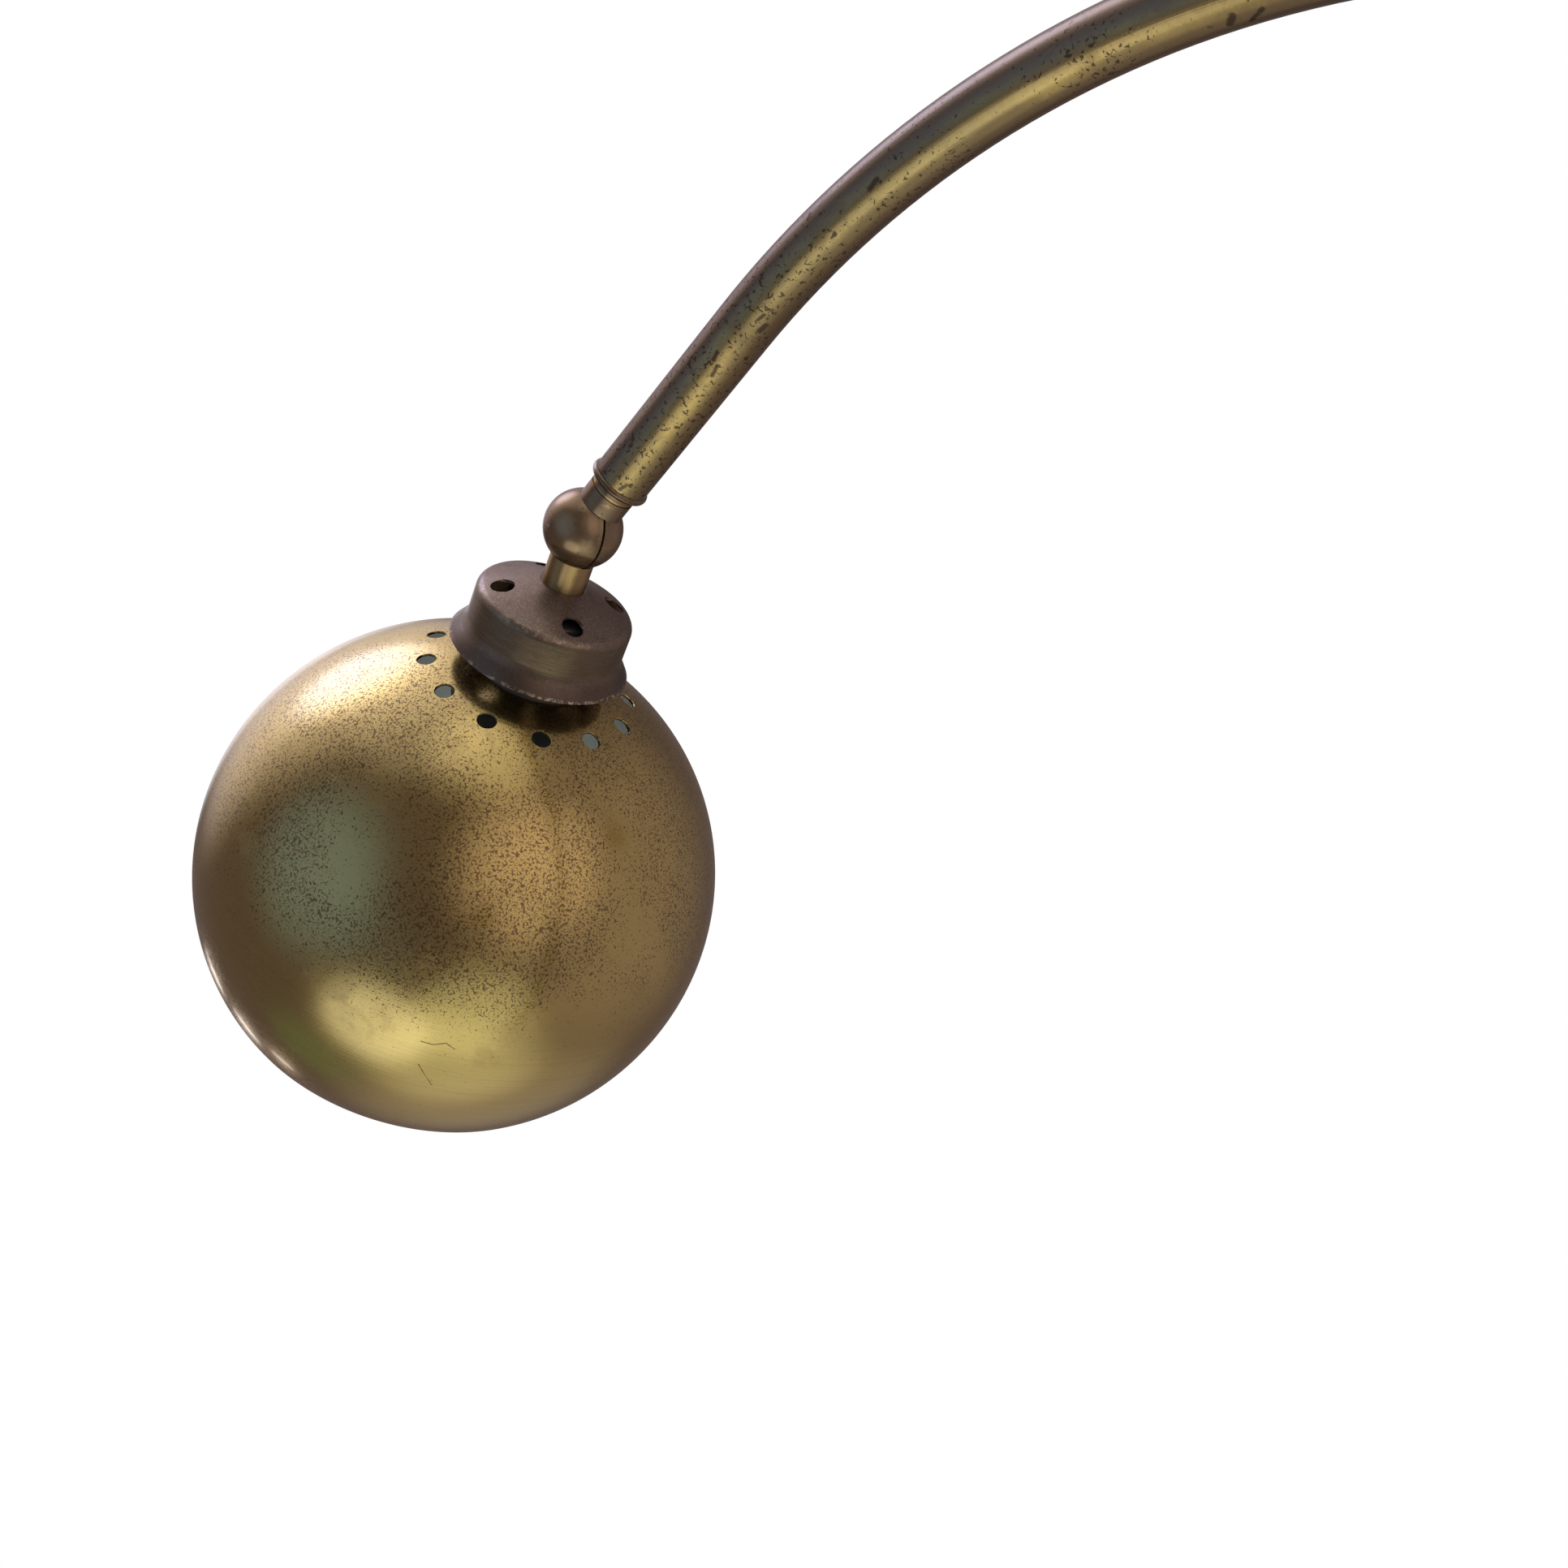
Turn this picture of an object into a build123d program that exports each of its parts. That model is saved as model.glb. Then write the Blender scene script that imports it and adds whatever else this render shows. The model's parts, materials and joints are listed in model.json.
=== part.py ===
from build123d import *
from math import acos, atan2, cos, degrees, radians, sin, sqrt
import os

# A floor lamp: three cane-shaped brass arms rise from one column on a round marble base.
# Each arm ends in a split-ball swivel that carries a perforated brass globe with its bulb.
# Millimetres, +Z up, origin on the floor under the middle of the base.

os.makedirs("parts", exist_ok=True)

# Fits: play of a shaft that turns, play of a piece that is fixed, gap between moving faces
running_play = 0.05
fixed_play = 0.03
face_gap = 0.2

# Marble base, its felt, and the clamping stack in its pocket
base_radius = 170.0
base_height = 60.0
base_top_round = 5.0
base_foot_round = 1.5
felt_thickness = 2.0
felt_inset = 4.0
pocket_radius = 55.0
pocket_depth = 34.0
plate_radius = 42.0
plate_thickness = 5.0
tie_radius = 8.0
tie_bore_radius = 5.5
tie_hole_play = 0.5
tie_tail = 2.0
nut_across_flats = 24.0
nut_height = 8.0

# Supply lead inside the stand, and the gland where a cord would enter
lead_radius = 3.5
lead_level = 11.0
lead_bend_radius = 9.5
lead_end_depth = 8.0
gland_radius = 6.4
gland_length = 22.0
gland_flange_radius = 9.0
gland_flange_thickness = 3.0

# Column, its flange, and the screws through its wall
column_radius = 32.0
column_wall = 1.5
column_length = 973.0
flange_radius = 48.0
flange_thickness = 5.0
flange_round = 2.0
flange_boss_height = 24.0
screw_radius = 2.0
screw_depth = 9.0
screw_head_radius = 3.6
screw_head_height = 1.6
screw_slot_width = 0.8
screw_slot_depth = 0.6

# Column head with its bushes and thumb screws
arm_pitch_radius = 16.5
head_radius = 34.0
head_height = 36.0
head_round = 3.0
head_spigot = 30.0
head_screw_drop = 14.0
bush_wall = 1.45
bush_length = 22.0
bush_flange_radius = 13.6
bush_flange_thickness = 2.0
thumb_shank_radius = 2.5
thumb_level = 12.0
thumb_knob_radius = 7.0
thumb_knob_length = 10.0
thumb_neck_length = 1.5
thumb_tip_gap = 0.3
thumb_flutes = 12
thumb_flute_radius = 0.9

# Guide that carries the arms' feet inside the column, with the terminal block under it
guide_depth = 240.0
guide_thickness = 22.0
guide_socket_depth = 15.0
guide_flex_hole_radius = 4.0
block_length = 36.0
block_width = 24.0
block_height = 14.0
block_round = 2.0
block_hole_radius = 1.8
block_hole_pitch = 10.0
block_hole_depth = 8.0

# Arms: tube, bend, and the plug in the tube's foot
arm_radius = 11.0
arm_wall = 1.0
bend_radius = 318.0
end_slope = 38.69
end_straight = 104.2
foot_plug_length = 20.0
foot_plug_flange = 3.0
flex_radius = 2.75
flex_play = 0.15

# Ferrule at the arm's end and the neck that turns in it, measured from the ball's centre
ferrule_start = 24.0
bead_thickness = 3.0
bead_radius = 12.0
bead_round = 1.45
ferrule_length = 20.0
stem_radius = 6.0
stem_tail = 3.5
clip_thickness = 1.0
clip_radius = 8.5
clip_groove_depth = 0.7
clip_mouth = 5.0
upper_neck_radius = 9.2
neck_groove_place = 2.6
neck_groove_width = 0.8
neck_groove_depth = 0.5
flex_bore_radius = 3.0
flex_bore_stop = 9.0

# Split ball: two halves that turn on a screw across the middle
ball_radius = 15.5
split_gap = 1.0
ball_play = 0.3
boss_radius = 8.0
boss_gap = 0.1
pivot_radius = 2.5
pivot_depth = 8.0
pivot_head_radius = 4.4
pivot_head_height = 2.5
pivot_head_place = 10.0
pivot_slot_width = 1.2
pivot_slot_depth = 1.0
head_lean = 36.28
head_turn = 13.29
lower_neck_radius = 8.8
lower_neck_length = 25.2
cap_stem_radius = 5.0
cap_stem_length = 13.0

# Globe shade
globe_radius = 110.0
globe_wall = 1.0
mouth_angle = 50.0
land_radius = 25.5
shade_hole_radius = 20.0
vent_count = 12
vent_radius = 3.75
vent_angle = 22.6
vent_turn = 12.0

# Cap over the lamp holder
cap_lift = 8.3
cap_sheet = 1.0
cap_rim_radius = 36.9
cap_flare_height = 7.0
cap_wall_radius = 31.95
cap_wall_height = 16.4
cap_cone_height = 8.6
cap_flat_radius = 9.5
cap_round = 2.5
cap_vent_count = 4
cap_vent_radius = 4.3
cap_vent_ring_radius = 23.6
cap_vent_turn = -12.0

# Lamp holder, its contacts and the ring that clamps the globe
holder_radius = 19.8
holder_collar_inset = 0.8
holder_collar_height = 8.3
holder_flange_radius = 25.0
holder_flange_thickness = 3.5
holder_length = 58.3
holder_cavity_depth = 32.0
shell_wall = 0.6
shell_length = 28.0
contact_radius = 4.0
contact_height = 3.0
ring_radius = 28.5
ring_face_radius = 25.0
ring_slope_height = 2.5
ring_height = 19.0

# Bulb
bulb_cap_radius = 13.2
bulb_cap_length = 25.0
bulb_cap_taper = 4.0
bulb_tip_radius = 4.5
bulb_radius = 30.0
bulb_neck_radius = 12.8
bulb_neck_sweep = 40.0
bulb_glass_length = 80.0
bulb_glass_wall = 0.8

# The three arms: how far each upright stands out of the column's head before its bend, and
# its direction round the column
low_rise = 56.0
middle_rise = 356.0
high_rise = 656.0
arms = {"low": (270.0, low_rise), "middle": (150.0, middle_rise), "high": (30.0, high_rise)}
screw_azimuths = [azimuth + 180.0 / len(arms) for azimuth, _ in arms.values()]

# Levels of the stand, from the floor up
marble_foot = felt_thickness
marble_top = marble_foot + base_height
pocket_top = marble_foot + pocket_depth
plate_foot = pocket_top - plate_thickness
nut_foot = plate_foot - nut_height
tie_foot = nut_foot - tie_tail
column_foot = marble_top + flange_thickness
tie_top = column_foot + flange_boss_height
column_top = column_foot + column_length
head_top = column_top + head_height
thumb_height = head_top - thumb_level
guide_top = column_top - guide_depth
guide_foot = guide_top - guide_thickness
socket_floor = guide_top - guide_socket_depth
arm_foot_level = socket_floor + face_gap
block_foot = guide_foot - block_height

# Radii that follow from the ones above
column_bore = column_radius - column_wall
spigot_radius = column_bore - fixed_play
arm_bore = arm_radius - arm_wall
bush_bore = arm_radius + running_play
bush_radius = bush_bore + bush_wall
stem_bore = stem_radius + running_play
ferrule_plug_radius = arm_bore - fixed_play

# Places along the arm's end, from the ball's centre up the tube
tube_end = ferrule_start + bead_thickness
ferrule_end = tube_end + ferrule_length
clip_start = ferrule_end + face_gap
stem_end = clip_start + clip_thickness + stem_tail

# Heights along the head's axis, from the globe's centre up
land_height = sqrt(globe_radius**2 - land_radius**2)
rim_height = land_height + cap_lift
wall_foot = rim_height + cap_flare_height
shoulder_height = wall_foot + cap_wall_height
cap_top = shoulder_height + cap_cone_height
ball_height = cap_top + lower_neck_length
holder_top = cap_top - cap_sheet
holder_foot = holder_top - holder_length
cavity_top = holder_foot + holder_cavity_depth
contact_foot = cavity_top - contact_height
bulb_tip = contact_foot - face_gap
bulb_cap_foot = bulb_tip - bulb_cap_length
bulb_centre = bulb_cap_foot - bulb_glass_length + bulb_radius
shell_inner = bulb_cap_radius + face_gap
shell_outer = shell_inner + shell_wall
cavity_radius = shell_outer + fixed_play
collar_radius = cap_flat_radius - holder_collar_inset

# Where the ball stands from the arm's own upright axis
ball_reach = bend_radius * (1 + sin(radians(end_slope))) + end_straight * cos(radians(end_slope))
ball_drop = bend_radius * (1 - cos(radians(end_slope))) + end_straight * sin(radians(end_slope))


def keep(piece, name):
    """Label a finished piece and write it."""
    piece.part.label = name
    export_step(piece.part, f"parts/{name}.step")


def profile_plane(origin, across, along):
    """Sketch plane whose x runs across a turned piece's axis and whose y runs along it."""
    return Plane(origin=origin, x_dir=across, z_dir=across.cross(along))


def outward_at(azimuth):
    """Level direction at an angle round the column."""
    return Vector(cos(radians(azimuth)), sin(radians(azimuth)), 0)


class ArmFrame:
    """Where one arm stands, and the axes of the pieces at its end."""

    def __init__(self, azimuth, rise):
        up = Vector(0, 0, 1)
        lean = radians(head_lean)
        turn = radians(head_turn)
        slope = radians(end_slope)
        self.apex = head_top + rise + bend_radius
        self.outward = outward_at(azimuth)
        self.sideways = up.cross(self.outward)
        self.foot = self.outward * arm_pitch_radius
        self.side_plane = profile_plane(self.foot, self.outward, up)
        self.ball = self.foot + self.outward * ball_reach + up * (self.apex - ball_drop)
        self.tube_axis = self.outward * -cos(slope) + up * sin(slope)
        self.neck_plane = profile_plane(self.ball, self.sideways, self.tube_axis)
        self.hinge_axis = self.outward * -sin(turn) + self.sideways * -cos(turn)
        self.head_axis = (
            self.outward * (-sin(lean) * cos(turn))
            + self.sideways * (sin(lean) * sin(turn))
            + up * cos(lean)
        )
        self.head_side = self.head_axis.cross(self.hinge_axis)
        self.globe = self.ball - self.head_axis * ball_height
        self.head_plane = profile_plane(self.globe, self.hinge_axis, self.head_axis)

    def head_station(self, height):
        """Plane across the head's axis at a height above the globe's centre."""
        origin = self.globe + self.head_axis * height
        return Plane(origin=origin, x_dir=self.hinge_axis, z_dir=self.head_axis)

    def path(self, start_height, end_from_ball):
        """Middle line of the tube, from a height on its upright to a place short of the ball."""
        slope = radians(end_slope)
        bend_end = (bend_radius * (1 + sin(slope)), self.apex - bend_radius * (1 - cos(slope)))
        run = end_straight - end_from_ball
        with BuildLine(self.side_plane) as line:
            Line((0, start_height), (0, self.apex - bend_radius))
            CenterArc((bend_radius, self.apex - bend_radius), bend_radius, 180, -90 - end_slope)
            Line(bend_end, (bend_end[0] + run * cos(slope), bend_end[1] - run * sin(slope)))
        return line.wires()[0]


def make_base():
    """Marble disc, pocketed below for the clamping stack, drilled for the tie tube and the lead."""
    with BuildPart() as base_marble:
        with BuildSketch(Plane.XY.offset(marble_foot)):
            Circle(base_radius)
        extrude(amount=base_height)
        rims = base_marble.edges().filter_by(GeomType.CIRCLE).sort_by(Axis.Z)
        fillet(rims[-1], base_top_round)
        chamfer(base_marble.edges().filter_by(GeomType.CIRCLE).sort_by(Axis.Z)[0], base_foot_round)
        with BuildSketch(Plane.XY.offset(marble_foot)):
            Circle(pocket_radius)
        extrude(amount=pocket_depth, mode=Mode.SUBTRACT)
        with BuildSketch(Plane.XY.offset(marble_foot)):
            Circle(tie_radius + tie_hole_play)
        extrude(amount=base_height, mode=Mode.SUBTRACT)
        with BuildSketch(Plane(origin=(0, 0, lead_level), x_dir=(1, 0, 0), z_dir=(0, 1, 0))):
            Circle(gland_radius + fixed_play)
        extrude(amount=base_radius, mode=Mode.SUBTRACT)
    keep(base_marble, "base_marble")

    with BuildPart() as base_felt:
        with BuildSketch():
            Circle(base_radius - felt_inset)
        extrude(amount=felt_thickness)
    keep(base_felt, "base_felt")


def make_clamping_stack():
    """Steel plate, tie tube and nut that pull the column's flange down on the marble."""
    with BuildPart() as base_plate:
        with BuildSketch(Plane.XY.offset(plate_foot)):
            Circle(plate_radius)
            Circle(tie_radius + fixed_play, mode=Mode.SUBTRACT)
        extrude(amount=plate_thickness)
    keep(base_plate, "base_plate")

    with BuildPart() as tie_tube:
        with BuildSketch(Plane.XY.offset(tie_foot)):
            Circle(tie_radius)
            Circle(tie_bore_radius, mode=Mode.SUBTRACT)
        extrude(amount=tie_top - tie_foot)
    keep(tie_tube, "tie_tube")

    with BuildPart() as base_nut:
        with BuildSketch(Plane.XY.offset(nut_foot)):
            RegularPolygon(nut_across_flats / 2, 6, major_radius=False)
            Circle(tie_radius + fixed_play, mode=Mode.SUBTRACT)
        extrude(amount=nut_height)
    keep(base_nut, "base_nut")


def make_supply():
    """Lead from the gland up the tie tube to the terminal block, and the gland itself."""
    lead_end = base_radius - lead_end_depth
    with BuildPart() as supply_lead:
        with BuildLine(Plane.YZ) as route:
            FilletPolyline(
                (0, block_foot),
                (0, lead_level),
                (lead_end, lead_level),
                radius=lead_bend_radius,
            )
        with BuildSketch(Plane.XY.offset(block_foot)):
            Circle(lead_radius)
        sweep(path=route.wires()[0])
    print("supply lead bend radius", lead_bend_radius, "at lead diameter", 2 * lead_radius)
    keep(supply_lead, "supply_lead")

    rim_plane = Plane(origin=(0, base_radius, lead_level), x_dir=(1, 0, 0), z_dir=(0, 1, 0))
    with BuildPart() as cord_gland:
        with BuildSketch(rim_plane):
            Circle(gland_radius)
        extrude(amount=-gland_length)
        with BuildSketch(rim_plane):
            Circle(gland_flange_radius)
        extrude(amount=gland_flange_thickness, taper=15)
        with BuildSketch(rim_plane):
            Circle(lead_radius + fixed_play)
        extrude(amount=gland_length, both=True, mode=Mode.SUBTRACT)
    keep(cord_gland, "cord_gland")


def make_column():
    """Brass tube on a turned flange, with holes for the screws of its head and its guide."""
    with BuildPart() as column_flange:
        with BuildSketch(Plane.XY.offset(marble_top)):
            Circle(flange_radius)
        extrude(amount=flange_thickness)
        fillet(column_flange.edges().filter_by(GeomType.CIRCLE).sort_by(Axis.Z)[-1], flange_round)
        with BuildSketch(Plane.XY.offset(column_foot)):
            Circle(spigot_radius)
        extrude(amount=flange_boss_height)
        with BuildSketch(Plane.XY.offset(marble_top)):
            Circle(tie_radius + fixed_play)
        extrude(amount=flange_thickness + flange_boss_height, mode=Mode.SUBTRACT)
    keep(column_flange, "column_flange")

    with BuildPart() as column_tube:
        with BuildSketch(Plane.XY.offset(column_foot)):
            Circle(column_radius)
            Circle(column_bore, mode=Mode.SUBTRACT)
        extrude(amount=column_length)
        with BuildSketch(*screw_planes(column_radius - screw_depth)):
            Circle(screw_radius + fixed_play)
        extrude(amount=2 * screw_depth, mode=Mode.SUBTRACT)
    keep(column_tube, "column_tube")


def screw_levels():
    """Heights of the two rings of screws through the column's wall."""
    return [column_top - head_screw_drop, guide_top - guide_thickness / 2]


def screw_planes(radius):
    """Planes facing outwards at each column screw, at a distance from the column's axis."""
    return [
        Plane(origin=outward_at(azimuth) * radius + Vector(0, 0, level), z_dir=outward_at(azimuth))
        for level in screw_levels()
        for azimuth in screw_azimuths
    ]


def make_column_screws():
    """Six domed slotted screws that hold the head and the guide in the column."""
    dome_radius = (screw_head_radius**2 + screw_head_height**2) / (2 * screw_head_height)
    with BuildPart() as column_screws:
        for plane in screw_planes(column_radius):
            across = plane.x_dir
            with BuildSketch(profile_plane(plane.origin, across, plane.z_dir)):
                with BuildLine():
                    Polyline(
                        (0, -screw_depth),
                        (screw_radius, -screw_depth),
                        (screw_radius, 0),
                        (screw_head_radius, 0),
                    )
                    RadiusArc((screw_head_radius, 0), (0, screw_head_height), -dome_radius)
                    Line((0, screw_head_height), (0, -screw_depth))
                make_face()
            revolve(axis=Axis(plane.origin, plane.z_dir))
        with BuildSketch(*screw_planes(column_radius + screw_head_height - screw_slot_depth)):
            Rectangle(2 * screw_head_radius, screw_slot_width)
        extrude(amount=screw_head_height, mode=Mode.SUBTRACT)
    keep(column_screws, "column_screws")


def arm_posts(level):
    """Level planes centred on each arm's upright."""
    return [
        Plane(origin=outward_at(azimuth) * arm_pitch_radius + Vector(0, 0, level))
        for azimuth, _ in arms.values()
    ]


def thumb_planes(radius):
    """Planes facing outwards at each thumb screw, at a distance from the column's axis."""
    origins = {a: outward_at(a) * radius + Vector(0, 0, thumb_height) for a, _ in arms.values()}
    return [Plane(origin=origins[a], z_dir=outward_at(a)) for a in origins]


def make_column_head():
    """Turned head with three bored posts, a bush in each, and a thumb screw to lock each arm."""
    with BuildPart() as column_head:
        with BuildSketch(Plane.XY.offset(column_top)):
            Circle(head_radius)
        extrude(amount=head_height)
        fillet(column_head.edges().filter_by(GeomType.CIRCLE).sort_by(Axis.Z)[-1], head_round)
        with BuildSketch(Plane.XY.offset(column_top - head_spigot)):
            Circle(spigot_radius)
        extrude(amount=head_spigot)
        with BuildSketch(*arm_posts(head_top - bush_length)):
            Circle(bush_radius + fixed_play)
        extrude(amount=bush_length, mode=Mode.SUBTRACT)
        with BuildSketch(*arm_posts(column_top - head_spigot)):
            Circle(bush_bore + face_gap)
        extrude(amount=head_height + head_spigot, mode=Mode.SUBTRACT)
        with BuildSketch(*thumb_planes(arm_pitch_radius)):
            Circle(thumb_shank_radius + fixed_play)
        extrude(amount=head_radius, mode=Mode.SUBTRACT)
        with BuildSketch(*screw_planes(column_radius - screw_depth - face_gap)[: len(arms)]):
            Circle(screw_radius + fixed_play)
        extrude(amount=screw_depth + face_gap, mode=Mode.SUBTRACT)
    keep(column_head, "column_head")

    with BuildPart() as arm_bushes:
        with BuildSketch(*arm_posts(head_top - bush_length)):
            Circle(bush_radius)
        extrude(amount=bush_length)
        with BuildSketch(*arm_posts(head_top)):
            Circle(bush_flange_radius)
        extrude(amount=bush_flange_thickness)
        with BuildSketch(*arm_posts(head_top - bush_length)):
            Circle(bush_bore)
        extrude(amount=bush_length + bush_flange_thickness, mode=Mode.SUBTRACT)
        with BuildSketch(*thumb_planes(arm_pitch_radius)):
            Circle(thumb_shank_radius + fixed_play)
        extrude(amount=head_radius, mode=Mode.SUBTRACT)
    keep(arm_bushes, "arm_bushes")

    tip = arm_pitch_radius + arm_radius + thumb_tip_gap
    knob_start = head_radius + thumb_neck_length
    flute_spots = thumb_knob_radius + thumb_flute_radius / 3
    with BuildPart() as thumb_screws:
        with BuildSketch(*thumb_planes(tip)):
            Circle(thumb_shank_radius)
        extrude(amount=knob_start - tip)
        for plane in thumb_planes(knob_start):
            with BuildSketch(plane):
                Circle(thumb_knob_radius)
                with PolarLocations(flute_spots, thumb_flutes):
                    Circle(thumb_flute_radius, mode=Mode.SUBTRACT)
            extrude(amount=thumb_knob_length)
    keep(thumb_screws, "thumb_screws")


def make_guide():
    """Disc in the column with a blind socket under each arm, and the terminal block below it."""
    with BuildPart() as arm_guide:
        with BuildSketch(Plane.XY.offset(guide_foot)):
            Circle(spigot_radius)
        extrude(amount=guide_thickness)
        with BuildSketch(*arm_posts(socket_floor)):
            Circle(bush_bore)
        extrude(amount=guide_socket_depth, mode=Mode.SUBTRACT)
        with BuildSketch(*arm_posts(guide_foot)):
            Circle(guide_flex_hole_radius)
        extrude(amount=guide_thickness, mode=Mode.SUBTRACT)
        with BuildSketch(*screw_planes(column_radius - screw_depth - face_gap)[len(arms) :]):
            Circle(screw_radius + fixed_play)
        extrude(amount=screw_depth, mode=Mode.SUBTRACT)
    keep(arm_guide, "arm_guide")

    with BuildPart() as terminal_block:
        with BuildSketch(Plane.XY.offset(block_foot)):
            RectangleRounded(block_length, block_width, block_round)
        extrude(amount=block_height)
        with BuildSketch(Plane.XY.offset(block_foot)):
            with GridLocations(block_hole_pitch, block_hole_pitch * 1.4, 3, 2):
                Circle(block_hole_radius)
        extrude(amount=block_hole_depth, mode=Mode.SUBTRACT)
    keep(terminal_block, "terminal_block")


def make_arm(name, arm):
    """Bent tube, the plug in its foot, and the flex that runs inside it."""
    tube_foot = arm_foot_level + foot_plug_flange
    with BuildPart() as arm_tube:
        with BuildSketch(Plane(origin=arm.foot + Vector(0, 0, tube_foot))):
            Circle(arm_radius)
            Circle(arm_bore, mode=Mode.SUBTRACT)
        sweep(path=arm.path(tube_foot, tube_end))
    keep(arm_tube, f"arm_tube_{name}")

    with BuildPart() as arm_foot:
        with BuildSketch(Plane(origin=arm.foot + Vector(0, 0, arm_foot_level))):
            Circle(arm_radius)
        extrude(amount=foot_plug_flange)
        with BuildSketch(Plane(origin=arm.foot + Vector(0, 0, tube_foot))):
            Circle(arm_bore - fixed_play)
        extrude(amount=foot_plug_length)
        with BuildSketch(Plane(origin=arm.foot + Vector(0, 0, arm_foot_level))):
            Circle(flex_radius + flex_play)
        extrude(amount=foot_plug_flange + foot_plug_length, mode=Mode.SUBTRACT)
    keep(arm_foot, f"arm_foot_{name}")

    flex_foot = guide_foot + face_gap
    with BuildPart() as arm_flex:
        with BuildSketch(Plane(origin=arm.foot + Vector(0, 0, flex_foot))):
            Circle(flex_radius)
        sweep(path=arm.path(flex_foot, stem_end + face_gap))
    print("arm flex bend radius", bend_radius, "at flex diameter", 2 * flex_radius)
    keep(arm_flex, f"arm_flex_{name}")


def make_ferrule(name, arm):
    """Beaded ring plugged in the tube's end, bored for the neck's stem."""
    with BuildPart() as arm_ferrule:
        with BuildSketch(arm.neck_plane):
            with BuildLine():
                FilletPolyline(
                    (stem_bore, ferrule_start),
                    (bead_radius, ferrule_start),
                    (bead_radius, tube_end),
                    (ferrule_plug_radius, tube_end),
                    radius=bead_round,
                )
                Polyline(
                    (ferrule_plug_radius, tube_end),
                    (ferrule_plug_radius, ferrule_end),
                    (stem_bore, ferrule_end),
                    (stem_bore, ferrule_start),
                )
            make_face()
        revolve(axis=Axis(arm.ball, arm.tube_axis))
    keep(arm_ferrule, f"arm_ferrule_{name}")


def half_ball(arm, along, radius, reach):
    """Part of a ball beyond a level along the hinge axis, turned about that axis."""
    with BuildSketch(profile_plane(arm.ball, arm.head_axis, along)) as section:
        with BuildLine():
            start = degrees(atan2(reach, sqrt(radius**2 - reach**2)))
            CenterArc((0, 0), radius, start, 90 - start)
            Line((0, radius), (0, reach))
            Line((0, reach), (sqrt(radius**2 - reach**2), reach))
        make_face()
    return section.sketch


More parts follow.
